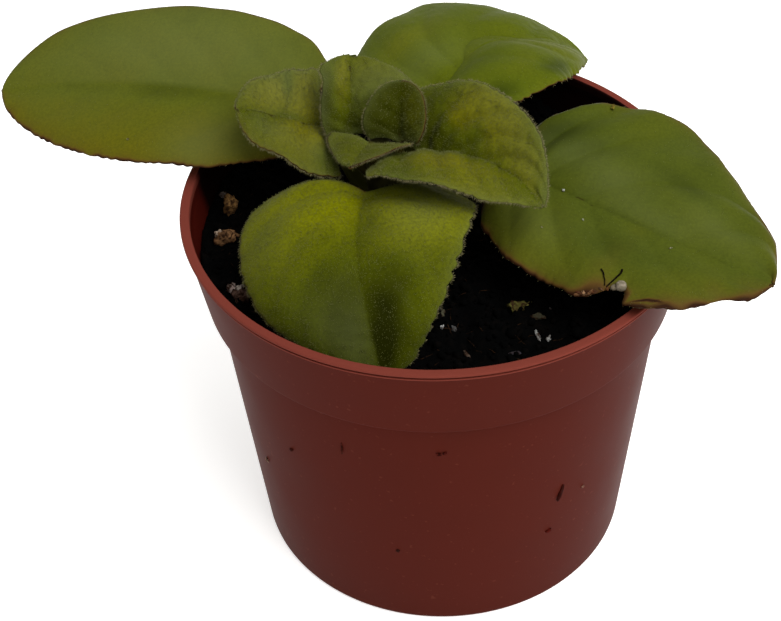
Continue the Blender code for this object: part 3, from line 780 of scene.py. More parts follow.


# Each leaf's yellower and deeper spots are partly its own tone and partly painted light and shade;
# its greyer spots are partly fine down and partly painted sheen and painted light
LEAVES = (
    Leaf("left_outer", "old_leaf", base=(-22.3, 14.1, 82.0), heading=152, turn=21, rise=(0, -13),
         bend=1.0, length=62.8, roll=(-14, -19), width=(18.6, 18.2), fullness=0.13, shoulder=1.0,
         point=0.51, lobe=(0.0, 0.0), fold=(4, 8), droop=(6, 8), waves=(0.25, 3.0, 0.0),
         petiole=(1.5, 70.5),
         veins=(((0.10, 0.42), (0.27, 0.62), (0.46, 0.80), (0.66, 0.95)),
                ((0.08, 0.40), (0.25, 0.60), (0.44, 0.79), (0.64, 0.95))), quilt=(0.22, 0.22, 1),
         groove=(0.45, 0.20), net=0.012, teeth=(2.2, 0.22, 0.0), margin=(0.28, 0.15, 1.0),
         gold=(0.1, 0.25, 0.75, -0.2), greens=("545912", "5e5a08", "2c3504", "5c6236"),
         hairs=(0.25, 0.3), grid=(380, 56),
         bulges=((-1, 0.0, 0.07, -1.9), (-1, 0.11, 0.05, 0.4), (-1, 0.21, 0.06, 0.4),
                 (-1, 0.41, 0.05, -0.3), (-1, 0.78, 0.12, 0.4), (-1, 0.86, 0.05, 0.35),
                 (1, 0.20, 0.06, 0.6), (1, 0.35, 0.07, -0.5), (1, 0.45, 0.13, -0.4)),
         tone_and_shading=((-0.45, 0.45, 0.10, 26, 3),),
         down_and_sheen=((0.8, 0.45, -0.45, 30, 14), (0.7, 0.24, 0.75, 9, 7), (0.2, 0.80, 0.40, 20, 10))),
    Leaf("right_outer", "old_leaf", base=(14.4, -1.9, 79.6), heading=-34.6, turn=4.7,
         rise=(-3, -9), bend=1.0, length=47.3, roll=(15.7, -3), width=(25.0, 17.8), fullness=0.09,
         shoulder=0.81, point=0.53, lobe=(2.9, 2.9), fold=(6, 4), droop=(19, 13),
         waves=(0.7, 5.5, 0.6), petiole=(1.5, 70.0),
         veins=(((0.01, 0.19), (0.08, 0.47), (0.25, 0.91), (0.64, 1.0)),
                ((0.03, 0.20), (0.14, 0.46), (0.30, 0.70), (0.50, 0.92))),
         quilt=(1.30, 0.80, 0.4), groove=(0.55, 0.30), net=0.015, teeth=(2.2, 0.06, 0.20),
         margin=(0.25, 0.5, 1.3), gold=(0.1, 0.1, 0.15, 0.35),
         greens=("464e13", "565a0c", "262e08", "565f34"), hairs=(0.35, 0.3), grid=(300, 88),
         bite=(0.50, 0.605, 0.16),
         bulges=((-1, 0.03, 0.03, 1.2), (-1, 0.17, 0.04, 0.5), (-1, 0.22, 0.06, 0.3),
                 (-1, 0.46, 0.05, 1.5), (-1, 0.71, 0.075, 2.0), (-1, 0.785, 0.03, 0.7),
                 (-1, 0.88, 0.035, -1.3), (-1, 0.972, 0.025, 2.0), (1, 0.26, 0.055, 0.7),
                 (1, 0.44, 0.085, 1.55), (1, 0.63, 0.05, -0.8), (1, 0.83, 0.05, -0.5),
                 (1, 0.935, 0.045, 1.6)),
         tone_and_shading=((-0.9, 0.08, 0.50, 7, 6), (-0.5, 0.46, -0.38, 9, 6), (0.4, 0.18, -0.6, 6, 6),
                  (-0.5, 0.55, 0.48, 9, 2.5), (-0.4, 0.64, 0.78, 9, 5)),
         down_and_sheen=((0.3, 0.20, 0.32, 8, 3.5), (0.3, 0.36, 0.22, 6, 3), (0.35, 0.50, 0.08, 9, 2.5),
                (0.4, 0.74, 0.30, 7, 4), (0.4, 0.20, -0.55, 6, 6))),
    Leaf("front", "young_leaf", base=(-11.8, -9.0, 81.9), heading=-104.2, turn=43.8,
         rise=(10, -77.5), bend=1.33, length=38.6, roll=(-2.8, 20), width=(19.4, 22.8),
         fullness=0.24, shoulder=0.68, point=0.61, lobe=(3.9, 4.0), fold=(11, -1.4),
         droop=(17.7, 38.3), waves=(0.3, 4.0, 0.3), petiole=(1.4, 72.0),
         veins=(((0.06, 0.34), (0.24, 0.68), (0.42, 0.90), (0.62, 1.0)),
                ((0.02, 0.27), (0.14, 0.64), (0.32, 0.84), (0.52, 0.98))), quilt=(0.60, 0.05, 1),
         groove=(1.25, 0.60), net=0.02, teeth=(3.0, 0.5, 0.3), margin=(0.0, 0.12, 0.0),
         gold=(0.55, -0.35, 0.1, 0.2), greens=("484e02", "6f7100", "1f2200", "3c4018"),
         hairs=(7.0, 0.42), grid=(270, 72),
         bulges=((-1, 0.62, 0.16, 0.8), (-1, 0.05, 0.1, 0.4), (1, 0.79, 0.09, -0.35)),
         tone_and_shading=((1.3, 0.14, -0.30, 6, 6), (1.5, 0.25, 0.60, 8, 7), (-1.0, 0.78, 0.18, 9, 6),
                  (0.4, 0.42, -0.50, 6, 6), (-0.7, 0.66, -0.22, 9, 6), (-0.2, 0.66, 0.40, 5, 4)),
         down_and_sheen=((0.5, 0.80, -0.35, 8, 8), (0.2, 0.28, -0.70, 6, 5), (0.7, 0.25, 0.60, 7, 6))),
    Leaf("back", "old_leaf", base=(-1.8, 13.2, 86.4), heading=49.2, turn=-24.6, rise=(21, -52),
         bend=1.0, length=43.5, roll=(-10, 3), width=(23.9, 18.3), fullness=0.20, shoulder=0.80,
         point=0.88, lobe=(3.0, 3.0), fold=(4, 11), droop=(20, 30), waves=(0.4, 4.5, 0.2),
         petiole=(1.4, 73.0),
         veins=(((0.03, 0.22), (0.16, 0.52), (0.36, 0.80), (0.60, 0.98)),
                ((0.05, 0.26), (0.20, 0.55), (0.40, 0.82), (0.62, 0.98))),
         quilt=(0.50, 0.40, 0.5), groove=(1.15, 0.50), net=0.015, teeth=(2.4, 0.06, 0.4),
         margin=(0.0, 0.06, 0.0), gold=(0.1, 0.1, 0.0, 0.45),
         greens=("4e570b", "5e620c", "263002", "505a2e"), hairs=(0.6, 0.35), grid=(270, 88),
         sway=(0.16, 0.24, 0.6),
         bulges=((1, 0.48, 0.07, 1.6), (1, 0.61, 0.06, -2.0), (-1, 0.27, 0.07, -0.6),
                 (-1, 0.45, 0.05, 0.4), (-1, 0.60, 0.04, -0.5), (-1, 0.75, 0.05, -0.4)),
         tone_and_shading=((-0.5, 0.25, -0.30, 6, 4), (-1.2, 0.51, -0.82, 6, 4),
                  (-1.0, 0.17, -0.80, 6, 5), (0.9, 0.20, 0.52, 5, 4)),
         down_and_sheen=((0.5, 0.16, 0.20, 7, 5),)),
    Leaf("left_inner", "young_leaf", base=(-17.8, 8.2, 82.5), heading=197.7, turn=-6.9,
         rise=(26, 22), bend=1.0, length=18.1, roll=(-9.6, -12.8), width=(12.2, 11.7),
         fullness=0.30, shoulder=0.66, point=0.39, lobe=(-1.4, -1.4), fold=(4.5, 9),
         droop=(15, 1), waves=(0.3, 3.0, 0.0), petiole=(1.2, 76.0),
         veins=(((0.02, 0.16), (0.30, 0.50), (0.66, 0.86)),
                ((0.05, 0.06), (0.45, 0.40), (0.74, 0.80))), quilt=(0.85, 0.60, 1),
         groove=(0.80, -0.50), net=0.06, teeth=(1.9, 0.25, 0.2), margin=(0.05, 0.02, 2.0),
         gold=(0.3, 0.0, 0.2, 0.0), greens=("484d03", "686400", "262a01", "3c4018"),
         hairs=(10.0, 0.45), grid=(130, 60),
         bulges=((1, 0.58, 0.18, -0.8), (-1, 0.04, 0.13, 1.6)),
         tone_and_shading=((1.2, 0.18, 0.10, 5, 3), (-0.9, 0.42, -0.68, 1.4, 4), (0.4, 0.38, 0.45, 5, 4),
                  (-0.7, 0.34, -0.05, 5, 1.4), (1.3, 0.25, -0.35, 3, 7),
                  (-0.7, 0.10, 0.72, 3, 3.5), (0.9, 0.62, -0.40, 5, 6)),
         down_and_sheen=((0.8, 0.50, -0.60, 9, 7), (0.5, 0.20, 0.60, 6, 4), (0.5, 0.70, 0.45, 4, 4))),
    Leaf("right_inner", "young_leaf", base=(-3.4, -2.5, 84.9), heading=-25.4, turn=-27.1,
         rise=(24.7, -21), bend=1.0, length=27.4, roll=(-3.3, 6.4), width=(12.4, 13.7),
         fullness=0.30, shoulder=0.89, point=0.79, lobe=(3.0, 4.2), fold=(37, 19), droop=(-5, 11),
         waves=(0.3, 3.5, 0.5), petiole=(1.2, 78.2),
         veins=(((0.09, 0.33), (0.17, 0.60), (0.32, 0.86), (0.54, 1.0)),
                ((0.06, 0.30), (0.22, 0.58), (0.42, 0.84), (0.64, 0.98))), quilt=(0.85, 0.35, 1),
         groove=(0.90, -1.10), net=0.05, teeth=(1.9, 0.2, 0.3), margin=(0.0, 0.0, 0.0),
         gold=(0.2, 0.1, 0.0, 0.35), greens=("4a5003", "686500", "282c00", "3c4018"),
         hairs=(10.0, 0.45), grid=(170, 64), bulges=((-1, 0.80, 0.07, 1.0),),
         tone_and_shading=((-1.0, 0.12, 0.25, 6, 4), (0.8, 0.38, -0.40, 6, 3), (1.2, 0.44, 0.75, 5, 4),
                  (0.7, 0.29, 0.50, 2, 2), (-0.7, 0.42, 0.38, 1.4, 4), (0.3, 0.68, 0.60, 6, 5),
                  (-0.9, 0.06, -0.4, 4, 5), (-0.3, 0.20, 0.80, 3, 4), (-0.7, 0.22, -0.90, 4, 3),
                  (0.5, 0.83, 0.25, 5, 4), (0.5, 0.40, 0.40, 4, 4)),
         down_and_sheen=((0.2, 0.75, -0.60, 6, 5), (0.4, 0.50, 0.80, 7, 4), (0.4, 0.78, 0.45, 6, 5))),
    Leaf("heart_back", "young_leaf", base=(-14.0, 4.1, 84.0), heading=95.3, turn=-3.3,
         rise=(61, 26), bend=1.0, length=13.9, roll=(1, 8), width=(5.8, 12.6), fullness=0.24,
         shoulder=0.84, point=0.44, lobe=(0.2, 0.2), fold=(21, 8), droop=(-1, 13),
         waves=(0.2, 3.0, 0.0), petiole=(0.9, 79.3),
         veins=(((0.08, 0.30), (0.36, 0.62), (0.62, 0.90)),
                ((0.06, 0.28), (0.30, 0.60), (0.58, 0.88))), quilt=(0.45, 0.40, 1),
         groove=(0.90, -0.20), net=0.06, teeth=(1.6, 0.15, 0.15), margin=(0.0, 0.0, 0.0),
         gold=(-0.2, 0.3, 0.1, 0.0), greens=("464c04", "646200", "252900", "3c4018"),
         hairs=(9.0, 0.42), grid=(110, 52), bulges=((1, 0.80, 0.12, 1.7),),
         tone_and_shading=((-1.2, 0.46, 0.95, 6, 2.0), (-0.2, 0.10, 0.10, 4, 5),
                  (-0.2, 0.10, -0.10, 4, 5), (0.8, 0.70, 0.45, 4, 2)),
         down_and_sheen=((0.7, 0.62, -0.55, 5, 5), (0.4, 0.74, 0.45, 3, 3))),
    Leaf("bud", "young_leaf", base=(-6.3, -0.3, 85.1), heading=82.0, turn=4.4, rise=(60, 49),
         bend=1.0, length=10.3, roll=(-8, 7), width=(6.2, 6.6), fullness=0.20, shoulder=0.88,
         point=0.40, lobe=(-0.8, -0.8), fold=(11, 39), droop=(-9, -5), waves=(0.15, 2.0, 0.0),
         petiole=(0.8, 80.3), veins=(((0.10, 0.35), (0.45, 0.75)), ((0.10, 0.35), (0.45, 0.75))),
         quilt=(0.20, 0.20, 1), groove=(0.65, 0.20), net=0.04, teeth=(1.5, 0.1, 0.1),
         margin=(0.0, 0.05, 0.0), gold=(-0.4, -0.1, 0.0, 0.3),
         greens=("363a01", "4c4d00", "1e2100", "3c4018"), hairs=(7.0, 0.40), grid=(90, 40),
         tone_and_shading=((0.7, 0.50, -0.50, 4, 4),)),
    Leaf("heart_front", "young_leaf", base=(-11.2, -1.5, 86.4), heading=-118.3, turn=1.6,
         rise=(1.5, -6.4), bend=1.0, length=6.9, roll=(-6.4, 10.7), width=(8.6, 6.3),
         fullness=0.35, shoulder=0.70, point=0.47, lobe=(0.3, 0.8), fold=(16, -1),
         droop=(-15, 17), waves=(0.15, 2.0, 0.0), petiole=(0.8, 79.3),
         veins=(((0.15, 0.40), (0.50, 0.80)), ((0.15, 0.40), (0.50, 0.80))),
         quilt=(0.20, 0.20, 1), groove=(0.35, 0.10), net=0.04, teeth=(1.5, 0.1, 0.15),
         margin=(0.10, 0.02, 0.0), gold=(0.0, -0.2, 0.0, 0.0),
         greens=("545812", "5c5c02", "252900", "3c4018"), hairs=(11.0, 0.42), grid=(70, 44),
         bulges=((-1, 0.15, 0.35, 1.6),)),
)


def spine(leaf, t):
    """Place and forward, left and up directions of a midrib at shares t of its length.

    Heading and slope go smoothly from base to tip; the direction that they give is summed up
    to the place. Left is level and square to it, up is square to both, and the roll turns
    the two about the midrib.
    """
    share = np.linspace(0.0, 1.0, 161)
    heading = np.radians(leaf.heading + leaf.turn * share)
    slope = np.radians(leaf.rise[0] + (leaf.rise[1] - leaf.rise[0]) * share ** leaf.bend)
    forward = np.stack([np.cos(slope) * np.cos(heading), np.cos(slope) * np.sin(heading),
                        np.sin(slope)], axis=-1)
    moves = (forward[1:] + forward[:-1]) * 0.5 * leaf.length / (len(share) - 1)
    points = np.array(leaf.base) + np.concatenate([np.zeros((1, 3)), np.cumsum(moves, axis=0)])
    level = np.stack([-np.sin(heading), np.cos(heading), 0 * heading], axis=-1)
    above = np.cross(forward, level)
    roll = np.radians(leaf.roll[0] + (leaf.roll[1] - leaf.roll[0]) * share)[:, None]
    left = np.cos(roll) * level + np.sin(roll) * above
    up = -np.sin(roll) * level + np.cos(roll) * above
    return [np.stack([np.interp(t, share, values[:, axis]) for axis in range(3)], axis=-1)
            for values in (points, forward, left, up)]


def blade_surface(leaf, steps, across, tooth):
    """Middle surface of a blade, and each half's width there, in millimetres.

    steps runs 0 to 1 from base to tip, across -1 to 1 from the right edge to the left. The
    share of the length is half of one minus the cosine of half a turn of steps. The half
    width is a sine of the swollen share, raised to a power that goes from a half to the
    point, less the bite. Each half leaves the midrib at its fold and curves down by its
    droop, on an arc, and towards the tip the crease between them is rounded off. Rows near
    the base swing back into lobes, and the edge has teeth and slow waves.
    """
    t = (1 - np.cos(np.pi * steps)) / 2
    centre, ahead, aside, above = (values[:, None] for values in spine(leaf, t))
    t = t[:, None]
    side = across[None, :]
    reach = np.abs(side)
    swell = leaf.fullness + (1 - leaf.fullness) * t ** leaf.shoulder
    half = np.where(side >= 0, leaf.width[0], leaf.width[1])
    half = half * np.clip(np.sin(np.pi * swell), 0, 1) ** (0.5 + (leaf.point - 0.5) * t)
    start, end, depth = leaf.bite
    missing = np.clip((t - start) / 0.055, 0, 1) * np.clip((end - t) / 0.012, 0, 1)
    half = half * (1 - depth * missing * (side < 0) * reach ** 4)
    for here, place, spread, size in leaf.bulges:
        half = half + (size * np.exp(-((t - place) / spread) ** 2) * (side * here > 0)
                       * reach ** 4 * np.clip(14 - 14 * t, 0, 1))
    half = half + tooth * reach ** 8
    fold = np.radians(np.where(side >= 0, leaf.fold[0], leaf.fold[1]))
    droop = np.radians(np.where(side >= 0, leaf.droop[0], leaf.droop[1])) + 0.00001
    sideways = half * (np.sin(fold) - np.sin(fold - droop * reach)) / droop
    round_off = 0.02 + 0.5 * np.clip(2.5 * t - 1.5, 0, 1) ** 2
    flat = ((np.sqrt(reach ** 2 + round_off ** 2) - round_off)
            / (np.sqrt(1 + round_off ** 2) - round_off))
    height = half * (np.cos(fold - droop * flat) - np.cos(fold)) / droop
    size, count, phase = leaf.waves
    fade = np.sin(np.pi * steps[:, None])
    wave = np.sin(2 * np.pi * (count * steps[:, None] + phase) + np.pi * (side > 0))
    height = height + size * wave * reach ** 3 * fade
    lobe = np.where(side >= 0, leaf.lobe[0], leaf.lobe[1])
    back = lobe * (1 - t) ** 2 * np.sin(np.radians(LOBE_SWING_DEG) * reach)
    surface = (centre + aside * (np.sign(side) * sideways)[..., None] + above * height[..., None]
               - ahead * back[..., None])
    return surface, half


def toothed(leaf, steps, across):
    """How far the edge stands out or in at its rounded teeth, for each row and side.

    A tooth is the size of a sine of the length along the smooth edge, divided by the pitch,
    so that bumps are round and notches sharp. Pitch and size wander a little, and the teeth
    fade out at the base and the tip.
    """
    pitch, left, right = leaf.teeth
    smooth, _ = blade_surface(leaf, steps, across, 0.0)
    edges = smooth[:, [0, -1]]
    gaps = np.linalg.norm(np.diff(edges, axis=0), axis=-1)
    run = np.concatenate([np.zeros((1, 2)), np.cumsum(gaps, axis=0)]) / pitch
    wander = run + 0.22 * np.sin(1.7 * run + leaf.length) + 0.15 * np.sin(0.61 * run)
    size = 1 + 0.25 * np.sin(0.93 * run + 2 * leaf.length)
    tooth = (np.abs(np.sin(np.pi * wander)) ** 1.2 - 0.5) * size * (right, left)
    tooth = tooth * np.clip(3 * np.sin(np.pi * steps[:, None]), 0, 1)
    return np.where(across[None, :] >= 0, tooth[:, 1:], tooth[:, :1])


def surface_normals(surface):
    """Unit directions square to a grid of points, from its rows and columns."""
    normal = np.cross(np.gradient(surface, axis=0), np.gradient(surface, axis=1))
    return normal / np.maximum(np.linalg.norm(normal, axis=-1, keepdims=True), 1e-9)


def midrib_depth(leaf, t):
    """How deep the midrib lies: straight from base to tip value, then none at the very tip."""
    return (leaf.groove[0] + (leaf.groove[1] - leaf.groove[0]) * t) * np.clip(5 - 5 * t, 0, 1)


def vein_pattern(leaf, t, side, half):
    """How far the blade is lifted or sunk by its veins, and how close each point is to one.

    A side vein runs from its start on the midrib to its end at the margin: its share of the
    length is the start plus the way to the end times the reach to the power 1.15. Between
    two veins the blade arches as a sine does, and each vein and the midrib dip in a bell
    curve. The midrib wanders as a sine of the length, and its valley has a wide bell too.
    """
    amount, crossing, period = leaf.sway
    centre = amount * np.sin(2 * np.pi * (t - crossing) / period) * np.clip(4 - 4 * t, 0, 1)
    off = side - centre * (1 - np.abs(side))
    reach = np.abs(off)
    arch, lateral = 0 * reach, 0 * reach
    for rows, here in zip(leaf.veins, (off >= 0, off < 0)):
        lines = [start + (end - start) * reach ** 1.15 for start, end in rows]
        lines = [lines[0] - 0.18, *lines, lines[-1] + 0.25]
        for low, high in zip(lines[:-1], lines[1:]):
            between = np.clip((t - low) / (high - low), 0, 1)
            arch = arch + np.sin(np.pi * between) ** 1.3 * here
        for line in lines[1:-1]:
            away = (t - line) * leaf.length * 0.7
            lateral = np.maximum(lateral, np.exp(-(away / 0.8) ** 2) * here)
    lateral = lateral * np.clip(1.25 - reach, 0, 1)
    arch = arch * np.sin(np.pi * np.clip(reach, 0, 1) ** 0.8) ** 0.8
    aside = reach * half
    middle = np.exp(-(aside / 0.5) ** 2)
    valley = np.exp(-(aside / (0.13 * leaf.width[0] + 0.6)) ** 2)
    fade = np.clip(2.0 - 2.3 * t, 0, 1)
    quilt = ((leaf.quilt[0] + (leaf.quilt[1] - leaf.quilt[0]) * t)
             * np.where(off >= 0, 1, leaf.quilt[2]))
    lift = (quilt * (arch - 0.12 * lateral)
            - midrib_depth(leaf, t) * (0.15 * middle * fade + 0.85 * valley))
    return lift, np.maximum(lateral * 0.3, middle * fade)


def soft_spots(leaf, places, t, side):
    """Sum of soft oval spots on a blade, each a bell curve that ends at the midrib."""
    total = 0 * t * side
    for amount, place, beside, tall, wide in places:
        own_half = np.clip(0.5 + side * np.sign(beside) / 0.08, 0, 1)
        total = total + own_half * amount * np.exp(
            -((t - place) * leaf.length / tall) ** 2
            - ((side - beside) * leaf.width[0] / wide) ** 2)
    return total


def columns_across(columns):
    """Places of a blade's columns from right to left: even, less a sine that crowds the edges."""
    even = np.linspace(-1, 1, columns + 1)
    return even - 0.075 * np.sin(2 * np.pi * even)


def finish_shares(leaf, t, side, edge, lip, vein, middle):
    """Shares of gold, vein, brown, and of down and painted sheen, on a blade's grid, in that order.

    Gold is a straight mix of the base, the tip and the two sides with soft spots on it,
    which are partly the leaf's own tone and partly painted light and shade. Brown fades with
    the distance to the edge over the margin's width, which grows with the length, and has a
    line along the lip beside the bite and a patch at the torn end. The share of down and
    painted sheen is soft spots too, partly fine down and partly painted sheen and painted
    light, and stronger near a hairy edge.
    """
    at_base, at_tip, at_left, at_right = leaf.gold
    # Gold takes the yellower and deeper spots: partly the leaf's own tone, partly painted light and
    # shade
    gold = (at_base * (1 - t) ** 1.5 + at_tip * t + at_left * np.maximum(side, 0)
            + at_right * np.maximum(-side, 0) + soft_spots(leaf, leaf.tone_and_shading, t, side))
    uneven = 0.85 + 0.20 * waves(middle, 4.0, int(leaf.length * 10) + 2)
    start, end, depth = leaf.bite
    sore = 1.2 * (depth > 0) * np.exp(-((t - start) / 0.045) ** 2) * (side < 0)
    width = np.where(side >= 0, leaf.margin[0], leaf.margin[1]) + 0.001
    width = width * (1 + leaf.margin[2] * t ** 2)
    brown = (np.exp(-(edge / (width + sore)) ** 1.5)
             + 0.30 * np.exp(-edge / (3 * (width + sore)))) * uneven * (width > 0.01)
    brown = np.maximum(brown, 1.2 * lip * np.exp(-((edge - 1.5 * lip) / 0.3) ** 2))
    torn = ((depth > 0) * np.exp(-((t - end) * leaf.length / 0.6) ** 2)
            * np.clip((-side - 0.80) / 0.08, 0, 1))
    brown = np.maximum(brown, 0.8 * torn)
    # Greyer spots: fine down near a hairy edge, and painted sheen and painted light in the listed
    # spots
    down_and_sheen_share = (soft_spots(leaf, leaf.down_and_sheen, t, side)
            + leaf.hairs[0] / 14 * np.exp(-edge / 0.9))
    return [share + 0 * edge for share in (gold, vein, brown, down_and_sheen_share)]


def blade(leaf):
    """One closed blade: its points, faces, finish shares, upper and under grids, directions.

    The middle surface is lifted by the veins and a fine net of random waves. The upper skin
    lies a set distance above it and the under skin below, both drawn in to nothing by a
    quarter circle over the last third of a millimetre, so that they meet at the edge, which
    curls down a little, and up in a lip beyond the bite.
    """
    rows, columns = leaf.grid
    steps = np.linspace(0, 1, rows + 1)
    across = columns_across(columns)
    t = ((1 - np.cos(np.pi * steps)) / 2)[:, None]
    side = across[None, :]
    middle, half = blade_surface(leaf, steps, across, toothed(leaf, steps, across))
    lift, vein = vein_pattern(leaf, t, side, half)
    edge = np.clip(np.minimum((1 - np.abs(side)) * half, t * leaf.length + 0 * side), 0, None)
    lip = (np.sin(np.pi * np.clip((t - leaf.bite[1]) / 0.16, 0, 1)) * (side < 0)
           * (leaf.bite[2] > 0))
    soft = np.clip(edge / 1.2, 0, 1)
    seed = int(leaf.length * 10)
    net = leaf.net * (waves(middle, 2.3, seed) + 0.6 * waves(middle, 1.2, seed + 1))
    normal = surface_normals(middle)
    curl = 0.25 - 1.0 * lip
    middle = middle + normal * ((lift + net) * soft - curl * np.exp(-edge / 0.8))[..., None]
    normal = surface_normals(middle)
    normal[-1] = normal[-2, columns // 2]
    skin = np.sqrt(1 - (1 - np.clip(edge / EDGE_ROUND, 0, 1)) ** 2)
    skin = skin * (1 - 0.35 * np.abs(side) ** 3)
    upper = middle + normal * (SKIN_ABOVE * skin)[..., None]
    under = middle - normal * (SKIN_BELOW * skin)[..., None]
    inner = (slice(1, rows), slice(1, columns))
    tip = middle[-1:, columns // 2]
    points = np.concatenate([upper[:-1].reshape(-1, 3), tip, under[inner].reshape(-1, 3)])
    top = np.arange(rows * (columns + 1)).reshape(rows, columns + 1)
    low = top.copy()
    low[1:, 1:-1] = top.size + 1 + np.arange((rows - 1) * (columns - 1)).reshape(rows - 1, -1)
    squares = np.concatenate([
        np.stack([top[:-1, :-1], top[1:, :-1], top[1:, 1:], top[:-1, 1:]], axis=-1).reshape(-1, 4),
        np.stack([low[:-1, :-1], low[:-1, 1:], low[1:, 1:], low[1:, :-1]], axis=-1).reshape(-1, 4)])
    end = 0 * top[-1, 1:] + top.size
    fans = np.concatenate([np.stack([top[-1, :-1], end, top[-1, 1:]], axis=-1),
                           np.stack([low[-1, :-1], low[-1, 1:], end], axis=-1)])
    shares = [np.concatenate([share[:-1].ravel(), share[-1:, columns // 2],
                              share[inner].ravel()])
              for share in finish_shares(leaf, t, side, edge, lip, vein, middle)]
    shares.append((np.arange(len(points)) <= top.size) * 1.0)
    return points, squares.tolist() + fans.tolist(), shares, upper, under, normal


def stalk(leaf):
    """Path and radii of a stalk and of the midrib that it becomes under the blade.

    The stalk is a cubic curve: it leaves the stem square to it, in plan towards the blade,
    and meets the midrib in line. Under the blade the rib thins out with the length.
    """
    radius, height = leaf.petiole
    base, forward, _, up = (values[0] for values in spine(leaf, np.zeros(1)))
    stem_spot = np.array((*STEM_PLACE, 0.0))
    outward = (base - stem_spot) * (1, 1, 0)
    outward = outward / np.linalg.norm(outward)
    start = stem_spot + outward * (stem_radius(height - radius) - 0.5) + (0, 0, height)
    end = base - up * (radius + leaf.groove[0] - 0.15)
    reach = np.linalg.norm(end - start)
    s = np.linspace(0, 1, STALK_RINGS)[:, None]
    curve = ((1 - s) ** 3 * start + 3 * (1 - s) ** 2 * s * (start + outward * reach * 0.30)
             + 3 * (1 - s) * s ** 2 * (end - forward * reach * 0.30) + s ** 3 * end)
    t = np.linspace(0.0, 0.86, STALK_RINGS + 1)[1:]
    points, _, _, ups = spine(leaf, t)
    rib_radii = 0.25 + (radius - 0.25) * (1 - t / t[-1]) ** 0.8
    rib = points - ups * (rib_radii + midrib_depth(leaf, t) - 0.15)[:, None]
    return (np.concatenate([curve, rib]),
            np.concatenate([np.full(STALK_RINGS, radius), rib_radii]))


def living_leaf(name, greens, velvet, mottle):
    """Fleshy leaf: satin where it is old, and velvety with a pale sheen where it is young.

    The blade's own shares say where it is yellower or deeper, partly as painted light and
    shade, where a vein or the brown margin runs, where fine down and painted sheen grey it
    and which side is the upper one. Clouds some millimetres wide and specks of under half a
    millimetre, such as pores, make the green uneven.
    """
    colour, yellow, deep, under = (linear(green) for green in greens)
    material, tree = new_material(name)
    place = node(tree, "TexCoord", {}).outputs["Object"]
    gold, vein, brown, down_and_sheen, upper = (
        node(tree, "Attribute", {}, attribute_name=share).outputs["Fac"]
        for share in LEAF_SHARES)
    clouds = node(tree, "TexNoise", {"Vector": place, "Scale": 1 / (9 * MM), "Detail": 2.0})
    cells = node(tree, "TexNoise", {"Vector": place, "Scale": 1 / (0.45 * MM), "Detail": 2.0})
    drift = node(tree, "MapRange", {"Value": clouds.outputs["Fac"], "From Min": 0.3,
                                    "From Max": 0.7, "To Min": -0.18, "To Max": 0.18})
    tone = node(tree, "Math", {0: gold, 1: drift.outputs[0]}, operation="ADD")
    shade = node(tree, "Math", {0: tone.outputs[0], 1: -1.0}, operation="MULTIPLY",
                 use_clamp=True)
    speck = node(tree, "MapRange", {"Value": cells.outputs["Fac"], "From Min": 0.35,
                                    "From Max": 0.65, "To Min": mottle, "To Max": 0.0})
    veined = node(tree, "MapRange", {"Value": vein, "To Max": 0.18})
    # Greying by fine down and by painted sheen and painted light
    down_and_sheen_mix = node(tree, "MapRange", {"Value": down_and_sheen, "To Max": 0.35})
    for share, layer in ((tone, yellow), (shade, deep), (speck, deep), (veined, deep),
                         (down_and_sheen_mix, linear(DOWN_AND_SHEEN_GREY))):
        colour = node(tree, "Mix", {0: share.outputs[0], 6: colour, 7: layer},
                      data_type="RGBA").outputs[2]
    colour = node(tree, "Mix", {0: upper, 6: under, 7: colour}, data_type="RGBA").outputs[2]
    tanned = node(tree, "MapRange", {"Value": brown, "From Max": 0.5, "To Max": 0.85})
    dried = node(tree, "MapRange", {"Value": brown, "From Min": 0.4, "From Max": 0.9})
    for share, layer in zip((tanned, dried), BROWNS):
        colour = node(tree, "Mix", {0: share.outputs[0], 6: colour, 7: linear(layer)},
                      data_type="RGBA").outputs[2]
    bump = node(tree, "Bump", {"Height": cells.outputs["Fac"], "Strength": 0.2,
                               "Distance": 0.06 * MM})
    rough = node(tree, "MapRange", {"Value": clouds.outputs["Fac"], "To Min": 0.44,
                                    "To Max": 0.56})
    finish_material(tree, node(tree, "BsdfPrincipled", {
        "Base Color": colour, "Roughness": rough.outputs[0], "IOR": 1.42,
        "Specular IOR Level": 0.03, "Sheen Weight": velvet, "Sheen Roughness": 0.45,
        "Sheen Tint": linear(SHEEN_COLOUR), "Normal": bump.outputs[0]}))
    return material


def leaf_hair():
    """Plant hair: fine and clear, so it takes the light and looks cream, the fringe most."""
    material, tree = new_material("leaf_hair")
    place = node(tree, "TexCoord", {}).outputs["Object"]
    tone = node(tree, "TexNoise", {"Vector": place, "Scale": 1 / (2.5 * MM), "Detail": 1.0})
    mixed = node(tree, "Mix", {0: tone.outputs["Fac"], 6: linear(HAIR_COLOURS[0]),
                               7: linear(HAIR_COLOURS[1])}, data_type="RGBA")
    fringe = node(tree, "Attribute", {}, attribute_name="fringe")
    pale = node(tree, "Mix", {0: fringe.outputs["Fac"], 6: mixed.outputs[2],
                              7: linear(FRINGE_COLOUR)}, data_type="RGBA")
    finish_material(tree, node(tree, "BsdfPrincipled", {
        "Base Color": pale.outputs[2], "Roughness": 0.5, "Specular IOR Level": 0.3}))
    return material


